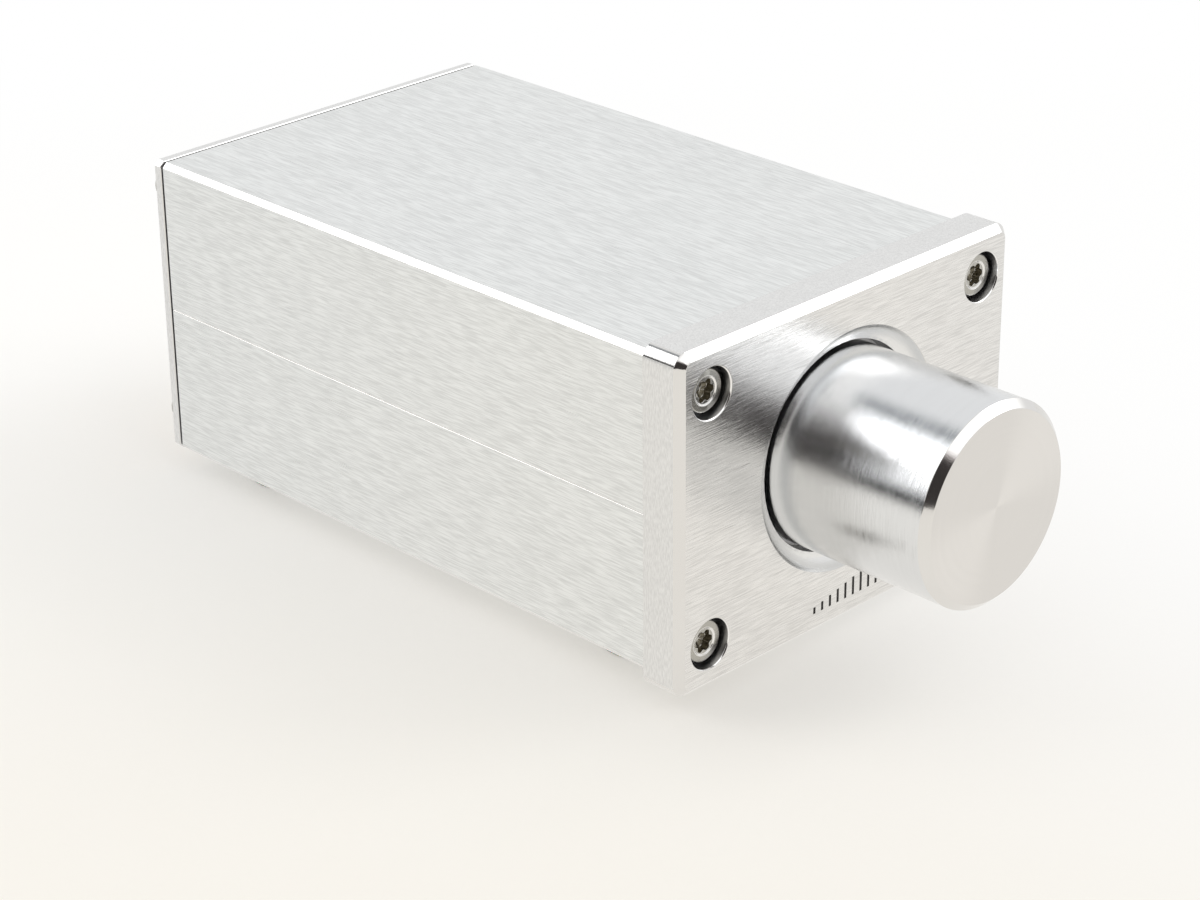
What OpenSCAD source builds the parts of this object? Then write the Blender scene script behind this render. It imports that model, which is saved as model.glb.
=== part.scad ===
// Small two-channel volume control box: a two-shell extruded case between end panels,
// with a large turned knob on a two-gang potentiometer and four phono jacks at the back.
// The front faces -Y, up is +Z, and the feet stand on Z = 0 with the box centred on the origin.

/* [Case] */
// Width of the closed body
body_w = 57.8; // [54:0.1:80]
// Height of the closed body, both shells together
body_h = 42.4; // [41:0.1:52]
// Length of the shells between the two end panels
body_l = 91; // [80:0.5:160]
// Wall of the shells
wall = 2; // [1.6:0.1:2.6]
// Chamfer along the long outer edges of the shells
body_chamfer = 0.7; // [0.3:0.05:1.2]
// Small chamfer where the two shells meet
seam_chamfer = 0.15; // [0.05:0.05:0.3]
// Height of the tongue that locates one shell in the other
tongue_h = 1.2; // [0.6:0.1:2]
// Thickness of that tongue
tongue_t = 0.9; // [0.6:0.05:1]
// Diameter of the round screw ports in the shell corners
port_d = 6.4; // [5.6:0.1:7]

/* [Front panel] */
// Thickness of the front panel
panel_t = 6; // [5.6:0.1:8]
// How far the front panel stands out beyond each side of the body
panel_side_lip = 1.1; // [0:0.1:2]
// How far the front panel stands out above and below the body
panel_top_lip = 1.3; // [0:0.1:2.5]
// Chamfer all round the front face
panel_chamfer = 1; // [0.4:0.1:1.6]
// Radius of the front face's corners, inside its chamfer
face_corner_r = 1; // [0.2:0.1:2]
// Height of the knob's axis above the middle of the body
knob_rise = 1; // [0:0.1:2]
// Outer diameter of the dished ring round the knob
well_d = 31.8; // [29.5:0.1:34]
// Depth of the dished ring
well_depth = 1.5; // [0.5:0.1:2.5]
// Depth of the pocket that the knob runs in
pocket_depth = 4; // [3:0.1:4.5]
// Gap between the dished ring and the tallest level mark
marks_gap = 1.2; // [0.6:0.1:1.8]
// Number of engraved level marks
mark_count = 9; // [3:1:9]
// Width of one level mark
mark_w = 0.42; // [0.2:0.02:0.8]
// Distance from one level mark to the next
mark_pitch = 1.45; // [1:0.05:1.6]
// Height of the lowest level mark
mark_low = 0.9; // [0.4:0.1:1.5]
// Height of the tallest level mark
mark_high = 3.5; // [2:0.1:4]
// Engraved depth of the level marks
mark_depth = 0.15; // [0.05:0.05:0.4]

/* [Rear panel] */
// Thickness of the rear panel
rear_t = 2.2; // [1.8:0.1:3]
// Chamfer round the outer face of the rear panel
rear_chamfer = 0.5; // [0.2:0.1:0.9]
// Chamfer round the inner face of the rear panel
rear_inner_chamfer = 0.25; // [0.05:0.05:0.4]

/* [Case screws] */
// Nominal diameter of the case screws
screw_d = 3; // [2.5:0.1:3.2]
// Distance of the case screws from the side of the body
screw_inset_x = 4.3; // [4:0.1:5]
// Distance of the case screws from the top and bottom of the body
screw_inset_z = 4.7; // [4.2:0.1:5.4]
// Length of the front screws under the head
front_screw_l = 12; // [8:1:20]
// Length of the rear screws under the head
rear_screw_l = 8; // [6:1:16]
// Diameter of the screw heads
screw_head_d = 5.5; // [5:0.1:6]
// Height of the front screw heads
front_head_h = 3; // [2:0.1:3.4]
// Height of the rear screw heads
rear_head_h = 2; // [1.4:0.1:3]
// Rounding of the heads' rims
screw_head_round = 0.3; // [0.1:0.05:0.5]
// Diameter of the counterbores in the front panel
counterbore_d = 6.5; // [6.2:0.1:7.4]
// How far the front screw heads lie below the panel's face
head_sink = 1; // [0.2:0.1:1.5]
// Size across the lobes of the six-lobe socket
lobe_d = 3; // [2:0.1:3.2]
// Depth of the six-lobe socket
lobe_depth = 1.3; // [0.8:0.1:1.6]

/* [Knob] */
// Diameter of the knob
knob_d = 26.4; // [22:0.1:28]
// How far the knob stands out from the front panel
knob_proud = 23; // [16:0.5:30]
// Chamfer round the front of the knob
knob_chamfer = 1; // [0.3:0.1:2]
// Chamfer round the back of the knob
knob_back_chamfer = 0.5; // [0.2:0.1:1]
// Diameter of the hollow behind the knob
knob_hollow_d = 17; // [15.5:0.5:19]
// Nominal diameter of the knob's set screw
set_screw_d = 4; // [3:0.5:4]
// Length of the knob's set screw
set_screw_l = 8; // [5:0.5:9]
// Distance from the panel's face forward to the set screw's axis
set_screw_reach = 8; // [6:0.5:10]
// Hexagon key size of the set screw
set_screw_key = 2; // [1.3:0.1:2]
// Depth of the set screw's hexagon socket
set_screw_key_depth = 2.2; // [1:0.1:3]

/* [Potentiometer] */
// Diameter of the potentiometer's shaft
shaft_d = 6; // [5:0.05:6.35]
// Length of the shaft in front of the panel's face
shaft_reach = 15; // [12:0.5:15.5]
// Depth of the flat on the shaft
shaft_flat = 0.5; // [0.3:0.1:1]
// Diameter of the journal at the back end of the shaft
journal_d = 3; // [2:0.1:4]
// Outer diameter of the threaded bushing
bushing_d = 9; // [8.5:0.1:10]
// Length of the bushing in front of the panel's inner face
bushing_l = 7; // [6:0.1:7.2]
// Diameter of the bushing's flange
bushing_flange_d = 13; // [12:0.5:15]
// Thickness of the bushing's flange
bushing_flange_t = 1.2; // [0.8:0.1:1.4]
// Size across the flats of the bushing's nut
pot_nut_af = 12; // [11:0.5:12.5]
// Thickness of the bushing's nut
pot_nut_t = 2; // [1.5:0.1:2.2]
// Diameter of the washer under the nut
pot_washer_d = 14; // [12.5:0.5:14.5]
// Thickness of the washer under the nut
pot_washer_t = 0.5; // [0.4:0.1:0.8]
// Share of the height inside the shells that the potentiometer's square case takes
pot_share = 0.703; // [0.66:0.001:0.73]
// Corner cut of the square case
pot_corner_cut = 1.6; // [0.8:0.1:2]
// Thickness of the front and back cover plates
pot_plate_t = 1; // [0.8:0.1:1.4]
// Depth of one gang's housing
gang_depth = 8; // [7.4:0.1:10]
// Thickness of the wall at the front of a housing
gang_wall = 2.2; // [2:0.1:2.4]
// Share of the case's width that the round space inside a housing takes
gang_share = 0.815; // [0.78:0.005:0.84]
// Thickness of the resistor board of each gang
board_t = 1.6; // [1.4:0.1:2]
// Hole in the middle of each resistor board
board_hole_d = 8; // [7.4:0.1:9]
// Share of the round space that the rotor discs take across
rotor_share = 0.864; // [0.82:0.001:0.88]
// Thickness of the rotor discs
rotor_t = 1.8; // [1.4:0.1:2.2]
// Share of a rotor disc that its hub takes across
hub_share = 0.526; // [0.48:0.001:0.56]
// Height of the rotor hubs
rotor_hub_h = 3.8; // [3.4:0.1:4.2]
// Half of the knob's full travel, in degrees
half_travel = 150; // [120:5:150]
// Diameter of the long rivets through the stack
rivet_d = 2; // [1.6:0.1:2.4]
// Distance of the rivets from the sides of the case
rivet_inset = 2.4; // [2.2:0.1:3]
// Diameter of the locating pin on the front cover plate
locator_d = 2; // [1.5:0.1:2.5]
// Width of a solder lug
lug_w = 2.4; // [2:0.1:2.8]
// Thickness of a solder lug
lug_t = 0.5; // [0.4:0.05:0.7]
// Gap between the solder lugs and the floor of the case
lug_floor_gap = 2.3; // [1.7:0.1:3]
// Distance from one solder lug to the next
lug_pitch = 5; // [4:0.1:6]

/* [Phono jacks] */
// Distance between the input and the output jacks
jack_pitch_x = 22; // [20:0.5:24]
// Diameter of the barrel that the plug grips
barrel_d = 8.3; // [8:0.05:8.5]
// Length of the barrel beyond its flange
barrel_l = 9.2; // [8:0.1:10]
// Diameter of the flange
jack_flange_d = 11.5; // [10.5:0.1:12.5]
// Thickness of the flange
jack_flange_t = 1.4; // [1:0.1:2]
// Diameter of the threaded stem
stem_d = 8; // [7.6:0.1:8.2]
// Bore of the jack shell
jack_bore_d = 6.2; // [5.8:0.1:6.4]
// Diameter of the coloured ring
ring_d = 12.6; // [12:0.1:13.5]
// Thickness of the coloured ring
ring_t = 1.6; // [1:0.1:2]
// Diameter of the inner insulating bush
bush_d = 13; // [12:0.1:14]
// Thickness of the inner insulating bush
bush_t = 1.2; // [0.8:0.1:1.6]
// Diameter of the shoulders that sit in the panel's holes
shoulder_d = 9.8; // [9.4:0.1:10.4]
// Length of each shoulder
shoulder_l = 0.9; // [0.5:0.05:0.9]
// Size across the flats of the jack nuts
jack_nut_af = 11; // [10:0.5:12]
// Thickness of the jack nuts
jack_nut_t = 2.5; // [2:0.1:3]
// Length of the stem beyond its nut
stem_spare = 1.2; // [0.5:0.1:2]
// Thickness of the solder tags
tag_t = 0.5; // [0.4:0.05:0.8]
// Outer diameter of a solder tag's ring
tag_d = 12; // [11.5:0.1:12.6]
// Width of a solder tag's tongue
tag_w = 3; // [2.6:0.1:3.6]
// Reach of a solder tag's tongue from the jack's axis
tag_reach = 10; // [9.8:0.1:10]
// Outer diameter of the centre contact
contact_d = 4.3; // [4:0.1:4.8]
// Bore of the centre contact
contact_bore = 3.2; // [3.15:0.05:3.3]
// Depth of the centre contact's bore
contact_depth = 9; // [8:0.1:10]
// Diameter of the contact's tail
tail_d = 2.2; // [2:0.1:2.6]
// Length of the contact's tail behind the insulator
tail_l = 4.5; // [3.5:0.1:6]

/* [Wires] */
// Diameter of a wire over its insulation
wire_d = 1.5; // [1.2:0.1:1.6]
// Diameter of a wire's bare core
core_d = 0.8; // [0.5:0.05:0.9]
// Length of bare core at each end of a wire
bare_l = 2; // [1.5:0.1:2.5]
// Solder holes in the lugs, tags and contact tails
solder_hole_d = 1.2; // [1.1:0.05:1.3]

/* [Feet] */
// Diameter of a foot where it meets the body
foot_d = 12; // [8:0.5:14]
// Diameter of a foot where it meets the table
foot_base_d = 11; // [7:0.5:14]
// Height of the feet
foot_h = 3.5; // [3:0.1:8]
// Rounding of the feet's lower rims
foot_round = 0.6; // [0.2:0.1:1]
// Distance of the feet's centres from the sides of the body
foot_inset_x = 10; // [8:0.5:14]
// Distance of the feet's centres from the ends of the shells
foot_inset_y = 11; // [8:0.5:20]

/* [Hidden] */

$fn = 72;

// Clearances
// Between a running shaft and its bore, on the radius
run_gap = 0.05;
// Between a screw's thread and its tapped hole, on the radius
thread_gap = 0.05;
// Between a screw's shank and its clearance hole, on the radius
shank_gap = 0.2;
// Between parts pushed together by hand, on the radius
fit_gap = 0.05;
// Between the knob and the pocket it runs in, on the radius
knob_gap = 0.5;
// Between the back of the knob and the floor of its pocket
knob_back_gap = 0.6;
// Between moving parts inside the potentiometer
inner_gap = 0.4;
// Between the tongue and the groove of the shells
tongue_gap = 0.1;
// Overrun of every cut past the face it starts from
over = 1;

// Stations along Y, from the knob to the jacks
jack_proud = ring_t + jack_flange_t + barrel_l;
total_l = knob_proud + panel_t + body_l + rear_t + jack_proud;
face_y = knob_proud - total_l / 2;
panel_back_y = face_y + panel_t;
body_back_y = panel_back_y + body_l;
rear_y = body_back_y + rear_t;

// Heights
mid_z = foot_h + body_h / 2;
knob_z = mid_z + knob_rise;

// Outline sizes
panel_w = body_w + 2 * panel_side_lip;
panel_h = body_h + 2 * panel_top_lip;
panel_corner_r = face_corner_r + panel_chamfer;
shell_h = body_h / 2;
screw_x = body_w / 2 - screw_inset_x;
screw_z = body_h / 2 - screw_inset_z;
tapped_d = screw_d + 2 * thread_gap;
shank_hole_d = screw_d + 2 * shank_gap;
counterbore_depth = front_head_h + head_sink;

// Knob and its pocket
pocket_d = knob_d + 2 * knob_gap;
pocket_floor_y = face_y + pocket_depth;
knob_back_y = pocket_floor_y - knob_back_gap;
knob_front_y = face_y - knob_proud;
bushing_front_y = panel_back_y - bushing_l;
knob_hollow_y = bushing_front_y - knob_back_gap;
shaft_front_y = face_y - shaft_reach;
shaft_bore_d = shaft_d + 2 * run_gap;
set_screw_y = face_y - set_screw_reach;
set_screw_z = shaft_d / 2 - shaft_flat;
set_hole_d = set_screw_d + 2 * thread_gap;

// Potentiometer: its square case takes its share of the height inside the shells
inner_h = body_h - 2 * wall;
pot_w = inner_h * pot_share;
gang_bore = pot_w * gang_share;
rotor_d = gang_bore * rotor_share;
rotor_hub_d = rotor_d * hub_share;
lug_free = (inner_h - pot_w) / 2 + knob_rise - lug_floor_gap;
locator_reach = (bushing_flange_d + pot_w) / 4;

// Stack of the potentiometer, from the panel backwards
pot_housing_y = panel_back_y + pot_plate_t;
board_front_y = pot_housing_y + gang_depth;
housing_rear_y = board_front_y + board_t;
board_rear_y = housing_rear_y + gang_depth;
pot_plate_rear_y = board_rear_y + board_t;
pot_back_y = pot_plate_rear_y + pot_plate_t;
rivet_reach = pot_w / 2 - rivet_inset;
rivet_head_d = rivet_d * 1.5;
rivet_head_t = pot_plate_t / 2;
wiper_t = 0.4;
rotor_lead = gang_wall + inner_gap;
stop_tab_reach = gang_bore / 2 - inner_gap;
stop_tab_angle = 8;
stop_play_angle = 1;
stop_block_angle = 180 - half_travel - stop_tab_angle - stop_play_angle;
stop_block_inner = rotor_d / 2 + inner_gap;
locator_l = 1.2;
locator_play = 0.1;
lug_root = 4.5;
lug_bottom_z = knob_z - pot_w / 2 - lug_free;
lug_hole_z = lug_bottom_z + lug_w / 2;

// Phono jacks, each in the middle of its own shell's height
jack_x = jack_pitch_x / 2;
jack_z = inner_h / 4;
// From the panel's inner face inwards and outwards
jack_hole_d = shoulder_d + 2 * fit_gap;
stem_hole_d = stem_d + 2 * fit_gap;
bush_y = body_back_y - bush_t;
tag_y = bush_y - tag_t;
jack_nut_y = tag_y - jack_nut_t;
stem_y = jack_nut_y - stem_spare;
flange_y = rear_y + ring_t;
barrel_y = flange_y + jack_flange_t;
jack_end_y = barrel_y + barrel_l;
insulator_recess = 0.5;
insulator_collar_t = 1;
insulator_collar_d = (jack_bore_d + stem_d) / 2;
contact_end_y = jack_end_y - 2 * insulator_recess;
contact_floor_y = contact_end_y - contact_depth;
tail_y = stem_y - insulator_collar_t - tail_l;
solder_cup_depth = 1.8;
tag_hole_outer = tag_reach - tag_w / 3;
tag_hole_inner = tag_hole_outer - wire_d - 0.25 * wire_d;

// A plate in the X-Z plane, from y backwards by t
module plate_at(y, t) {
    translate([0, y + t, 0]) rotate([90, 0, 0]) linear_extrude(t) children();
}

// A round bar along +Y
module bar_at(d, y, l) {
    translate([0, y, 0]) rotate([-90, 0, 0]) cylinder(d = d, h = l);
}

// A turned shape along +Y: the outline gives radius and Y
module turned_at(y) {
    translate([0, y, 0]) rotate([-90, 0, 0]) rotate_extrude() children();
}

// A hexagonal prism along +Y with rounded-off corners on both faces
module hex_nut(af, t, bore, y) {
    corner_d = af / cos(30);
    bevel = (corner_d - af) / 2;
    difference() {
        intersection() {
            bar_hex(af, y, t);
            turned_at(y) polygon([
                [0, 0], [af / 2, 0], [corner_d / 2, bevel / 2],
                [corner_d / 2, t - bevel / 2], [af / 2, t], [0, t]
            ]);
        }
        bar_at(bore, y - over, t + 2 * over);
    }
}

// A plain hexagonal bar along +Y, given across its flats, with two of the flats facing the sides
module bar_hex(af, y, l) {
    translate([0, y, 0]) rotate([-90, 0, 0]) rotate(30) cylinder(d = af / cos(30), h = l, $fn = 6);
}

// A rectangle with its four corners cut off
module cut_rectangle(w, h, cut) {
    polygon([
        [-w / 2 + cut, -h / 2], [w / 2 - cut, -h / 2], [w / 2, -h / 2 + cut], [w / 2, h / 2 - cut],
        [w / 2 - cut, h / 2], [-w / 2 + cut, h / 2], [-w / 2, h / 2 - cut], [-w / 2, -h / 2 + cut]
    ]);
}

// A square bar that cuts a chamfer of leg c along an edge running in X
module chamfer_bar(l, c) {
    rotate([45, 0, 0]) cube([l, c * sqrt(2), c * sqrt(2)], center = true);
}

// Chamfers round one face of a plate with cut corners, at the plane y
module face_chamfers(w, h, cut, c, y) {
    corner_l = (cut + c) * 2;
    for (s = [-1, 1]) {
        translate([0, y, mid_z + s * h / 2]) chamfer_bar(w + over, c);
        translate([s * w / 2, y, mid_z]) rotate([0, 90, 0]) chamfer_bar(h + over, c);
        for (u = [-1, 1])
            translate([s * (w - cut) / 2, y, mid_z + u * (h - cut) / 2])
                rotate([0, s * u * 45, 0]) chamfer_bar(corner_l, c);
    }
}

// Places its children at the four case screws
module at_screws() {
    for (s = [-1, 1], u = [-1, 1]) translate([s * screw_x, 0, mid_z + u * screw_z]) children();
}

// A plate with rounded corners and a chamfer of leg c round its front face, from y backwards by t
module chamfered_plate(w, h, t, r, c, y) {
    translate([0, y, 0]) {
        rotate([90, 0, 90]) linear_extrude(w - 2 * r, center = true)
            polygon([[0, -h / 2 + c], [c, -h / 2], [t, -h / 2], [t, h / 2], [c, h / 2], [0, h / 2 - c]]);
        linear_extrude(h - 2 * r, center = true)
            polygon([[-w / 2 + c, 0], [w / 2 - c, 0], [w / 2, c], [w / 2, t], [-w / 2, t], [-w / 2, c]]);
        for (s = [-1, 1], u = [-1, 1]) translate([s * (w / 2 - r), 0, u * (h / 2 - r)])
            turned_at(0) polygon([[0, 0], [r - c, 0], [r, c], [r, t], [0, t]]);
    }
}

// Front panel: a thick plate with a dished well and pocket for the knob
module front_panel() {
    color("silver") difference() {
        translate([0, 0, mid_z])
            chamfered_plate(panel_w, panel_h, panel_t, panel_corner_r, panel_chamfer, face_y);
        translate([0, 0, knob_z]) {
            turned_at(face_y) polygon([
                [0, -over], [well_d / 2, -over], [well_d / 2, 0],
                [pocket_d / 2, well_depth], [pocket_d / 2, pocket_depth], [0, pocket_depth]
            ]);
            bar_at(bushing_d + 2 * fit_gap, face_y, panel_t + over);
            translate([locator_reach, 0, 0])
                bar_at(locator_d + 2 * locator_play, panel_back_y - locator_l - locator_play,
                    locator_l + locator_play + over);
        }
        at_screws() {
            bar_at(counterbore_d, face_y - over, counterbore_depth + over);
            bar_at(shank_hole_d, face_y, panel_t + over);
        }
        level_marks();
    }
}

// Row of engraved strokes that grow from left to right, below the knob
module level_marks() {
    step_h = (mark_high - mark_low) / (mark_count - 1);
    marks_drop = well_d / 2 + marks_gap + mark_high;
    for (i = [0 : mark_count - 1])
        translate([
            (i - (mark_count - 1) / 2) * mark_pitch - mark_w / 2, face_y - over, knob_z - marks_drop
        ])
            cube([mark_w, mark_depth + over, mark_low + i * step_h]);
}

// Rear panel: a thin plate with four jack holes and four screw holes
module rear_panel() {
    color("silver") difference() {
        plate_at(body_back_y, rear_t) translate([0, mid_z]) cut_rectangle(body_w, body_h, body_chamfer);
        face_chamfers(body_w, body_h, body_chamfer, rear_chamfer, rear_y);
        face_chamfers(body_w, body_h, body_chamfer, rear_inner_chamfer, body_back_y);
        at_screws() bar_at(shank_hole_d, body_back_y - over, rear_t + 2 * over);
        for (s = [-1, 1], u = [-1, 1])
            translate([s * jack_x, 0, mid_z + u * jack_z])
                bar_at(jack_hole_d, body_back_y - over, rear_t + 2 * over);
    }
}

// Section of one shell, drawn as the lower one with its rim at height zero
module shell_section() {
    inner_x = body_w / 2 - wall;
    difference() {
        union() {
            difference() {
                polygon([
                    [-body_w / 2 + seam_chamfer, 0], [-body_w / 2, -seam_chamfer],
                    [-body_w / 2, -shell_h + body_chamfer], [-body_w / 2 + body_chamfer, -shell_h],
                    [body_w / 2 - body_chamfer, -shell_h], [body_w / 2, -shell_h + body_chamfer],
                    [body_w / 2, -seam_chamfer], [body_w / 2 - seam_chamfer, 0]
                ]);
                translate([-inner_x, wall - shell_h]) square([2 * inner_x, shell_h]);
            }
            translate([-inner_x - tongue_t, -wall]) square([tongue_t, wall + tongue_h]);
            for (s = [-1, 1]) screw_port(s);
        }
        translate([inner_x - over, -tongue_h - tongue_gap])
            square([tongue_t + tongue_gap + over, tongue_h + tongue_gap + over]);
        for (s = [-1, 1]) translate([s * screw_x, -screw_z]) circle(d = tapped_d);
    }
}

// Solid corner of a shell round one screw hole
module screw_port(s) {
    corner_x = body_w / 2 - wall / 2;
    corner_z = shell_h - wall / 2;
    translate([s * screw_x, -screw_z]) circle(d = port_d);
    translate([s > 0 ? screw_x : -corner_x, -screw_z - port_d / 2])
        square([corner_x - screw_x, port_d]);
    translate([s * screw_x - port_d / 2, -corner_z]) square([port_d, corner_z - screw_z]);
}

// Lower shell of the body
module bottom_shell() {
    color("gainsboro") plate_at(panel_back_y, body_l) translate([0, mid_z]) shell_section();
}

// Upper shell: the same extrusion turned over
module top_shell() {
    color("gainsboro") plate_at(panel_back_y, body_l) translate([0, mid_z]) rotate(180) shell_section();
}

// Six-lobe socket, cut down from y along +Y
module lobe_socket(y) {
    lobe_share = 0.23;
    tip_d = lobe_d * lobe_share;
    core = lobe_d * (1 - lobe_share);
    bar_at(core, y - over, lobe_depth + over);
    for (i = [0 : 5]) rotate([0, i * 60, 0])
        translate([(lobe_d - tip_d) / 2, 0, 0]) bar_at(tip_d, y - over, lobe_depth + over);
}

// Round-headed screw along +Y, with the top of its head at y
module case_screw(head_h, l, y) {
    difference() {
        turned_at(y) {
            difference() {
                square([screw_head_d / 2, head_h]);
                translate([screw_head_d / 2 - screw_head_round, 0]) difference() {
                    translate([0, -over]) square([screw_head_round + over, screw_head_round + over]);
                    translate([0, screw_head_round]) circle(r = screw_head_round);
                }
            }
            polygon([
                [0, head_h / 2], [screw_d / 2, head_h / 2], [screw_d / 2, head_h + l - screw_d / 6],
                [screw_d / 3, head_h + l], [0, head_h + l]
            ]);
        }
        lobe_socket(y);
    }
}

// Four screws through the front panel into the shells
module front_screws() {
    color("dimgray") at_screws() case_screw(front_head_h, front_screw_l, face_y + head_sink);
}

// Four screws through the rear panel into the shells
module rear_screws() {
    color("dimgray") at_screws()
        translate([0, rear_y, 0]) mirror([0, 1, 0]) case_screw(rear_head_h, rear_screw_l, -rear_head_h);
}

// One stick-on foot under the bottom shell
module foot(side, end_y) {
    color([0.78, 0.77, 0.74]) translate([side * (body_w / 2 - foot_inset_x), end_y, 0])
        rotate_extrude() polygon(concat(
            [[0, 0], [foot_base_d / 2 - foot_round, 0]],
            [for (a = [15 : 15 : 75]) [
                foot_base_d / 2 - foot_round * (1 - sin(a)), foot_round * (1 - cos(a))]],
            [[foot_base_d / 2, foot_round], [foot_d / 2, foot_h], [0, foot_h]]
        ));
}

// Volume knob: turned from bar, hollow behind for the nut, bored for the shaft
module volume_knob() {
    color("silver") translate([0, 0, knob_z]) difference() {
        turned_at(0) polygon([
            [0, knob_front_y], [knob_d / 2 - knob_chamfer, knob_front_y],
            [knob_d / 2, knob_front_y + knob_chamfer], [knob_d / 2, knob_back_y - knob_back_chamfer],
            [knob_d / 2 - knob_back_chamfer, knob_back_y], [knob_hollow_d / 2, knob_back_y],
            [knob_hollow_d / 2, knob_hollow_y], [0, knob_hollow_y]
        ]);
        bar_at(shaft_bore_d, shaft_front_y - fit_gap, shaft_reach + panel_t);
        translate([0, set_screw_y, 0]) rotate([180, 0, 0]) cylinder(d = set_hole_d, h = knob_d / 2 + over);
    }
}

// Set screw that holds the knob on the shaft's flat, with a hexagon socket
module knob_set_screw() {
    color("dimgray") translate([0, set_screw_y, knob_z - set_screw_z]) rotate([180, 0, 0]) difference() {
        cylinder(d = set_screw_d, h = set_screw_l);
        translate([0, 0, set_screw_l - set_screw_key_depth])
            cylinder(d = set_screw_key / cos(30), h = set_screw_key_depth + over, $fn = 6);
    }
}

// Potentiometer shaft, with a flat at the front and a journal at the back
module pot_shaft() {
    tip = shaft_flat;
    step_y = pot_plate_rear_y - inner_gap;
    flat_l = shaft_reach - set_screw_reach + set_screw_d;
    color("lightgray") translate([0, 0, knob_z]) difference() {
        turned_at(0) polygon([
            [0, shaft_front_y], [shaft_d / 2 - tip, shaft_front_y], [shaft_d / 2, shaft_front_y + tip],
            [shaft_d / 2, step_y], [journal_d / 2, step_y], [journal_d / 2, pot_back_y], [0, pot_back_y]
        ]);
        translate([-shaft_d / 2, shaft_front_y - over, -set_screw_z - shaft_d])
            cube([shaft_d, flat_l + over, shaft_d]);
    }
}

// Ring sector in the X-Z plane, from radius a to radius b, centred on an angle from +X
module sector(a, b, half_angle, at) {
    reach = 2 * b;
    intersection() {
        difference() {
            circle(r = b);
            circle(r = a);
        }
        rotate(at) polygon([[0, 0], [reach, -reach * tan(half_angle)], [reach, reach * tan(half_angle)]]);
    }
}

// Moulded rotor on the shaft; the front one carries the stop tab
module rotor(gang_y, tab) {
    start_y = gang_y + rotor_lead;
    color("ivory") translate([0, 0, knob_z]) {
        difference() {
            union() {
                bar_at(rotor_d, start_y, rotor_t);
                bar_at(rotor_hub_d, start_y, rotor_hub_h);
                if (tab) plate_at(start_y, rotor_t)
                    sector(rotor_hub_d / 2, stop_tab_reach, stop_tab_angle, 90);
            }
            bar_at(shaft_d + 2 * fit_gap, start_y - over, rotor_hub_h + 2 * over);
        }
    }
}

// Spring wiper: a ring on the rotor with a finger that leans towards the resistor board
module wiper(gang_y) {
    start_y = gang_y + rotor_lead + rotor_t;
    ring_outer = rotor_d - 2 * inner_gap;
    finger_w = lug_w / 2;
    finger_r = (ring_outer + rotor_hub_d) / 4;
    rise = gang_depth - rotor_lead - rotor_t - inner_gap;
    color("goldenrod") translate([0, 0, knob_z]) {
        difference() {
            bar_at(ring_outer, start_y, wiper_t);
            bar_at(rotor_hub_d + 2 * fit_gap, start_y - over, wiper_t + 2 * over);
        }
        translate([0, start_y, finger_r - finger_w / 2]) linear_extrude(finger_w)
            polygon([[0, 0], [2 * wiper_t, 0], [rise + wiper_t, rise], [rise - wiper_t, rise]]);
    }
}

// Threaded bushing with its flange, bored for the shaft
module pot_bushing() {
    color("lightgray") translate([0, 0, knob_z]) difference() {
        turned_at(0) polygon([
            [0, bushing_front_y], [bushing_d / 2, bushing_front_y], [bushing_d / 2, pot_housing_y],
            [bushing_flange_d / 2, pot_housing_y], [bushing_flange_d / 2, pot_housing_y + bushing_flange_t],
            [0, pot_housing_y + bushing_flange_t]
        ]);
        bar_at(shaft_bore_d, bushing_front_y - over, bushing_l + panel_t + over);
    }
}

// Washer under the nut, in the floor of the knob's pocket
module pot_washer() {
    y = pocket_floor_y - pot_washer_t;
    color("gray") translate([0, 0, knob_z]) difference() {
        bar_at(pot_washer_d, y, pot_washer_t);
        bar_at(bushing_d + 2 * fit_gap, y - over, pot_washer_t + 2 * over);
    }
}

// Nut that clamps the potentiometer to the front panel
module pot_nut() {
    color("gray") translate([0, 0, knob_z])
        hex_nut(pot_nut_af, pot_nut_t, bushing_d + 2 * thread_gap, pocket_floor_y - pot_washer_t - pot_nut_t);
}

// Places its children at the four long rivets, on the knob's axis height
module at_rivets() {
    for (s = [-1, 1], u = [-1, 1]) translate([s * rivet_reach, 0, u * rivet_reach]) children();
}

// Square plate of the potentiometer's stack, drilled for the rivets
module pot_slab(y, t) {
    difference() {
        plate_at(y, t) cut_rectangle(pot_w, pot_w, pot_corner_cut);
        at_rivets() bar_at(rivet_d + 2 * fit_gap, y - over, t + 2 * over);
    }
}

// Front cover plate, with the locating pin that stops the case turning
module pot_front_plate() {
    color("lightgray") translate([0, 0, knob_z]) {
        difference() {
            pot_slab(panel_back_y, pot_plate_t);
            bar_at(bushing_d + 2 * fit_gap, panel_back_y - over, pot_plate_t + 2 * over);
            at_rivets() bar_at(rivet_head_d + 2 * fit_gap, panel_back_y - over, rivet_head_t + over);
        }
        translate([locator_reach, 0, 0])
            bar_at(locator_d, panel_back_y - locator_l, locator_l + pot_plate_t / 2);
    }
}

// Moulded housing of one gang; the front one takes the bushing's flange and the stop
module pot_housing(y, front) {
    color([0.16, 0.2, 0.32]) translate([0, 0, knob_z]) {
        difference() {
            pot_slab(y, gang_depth);
            bar_at(gang_bore, y + gang_wall, gang_depth);
            bar_at(shaft_d + 2 * inner_gap, y - over, gang_depth);
            if (front) bar_at(bushing_flange_d + 2 * fit_gap, y - over, bushing_flange_t + over);
        }
        if (front) plate_at(y + gang_wall / 2, gang_depth - gang_wall / 2)
            sector(stop_block_inner, (gang_bore + pot_w) / 4, stop_block_angle, -90);
    }
}

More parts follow.
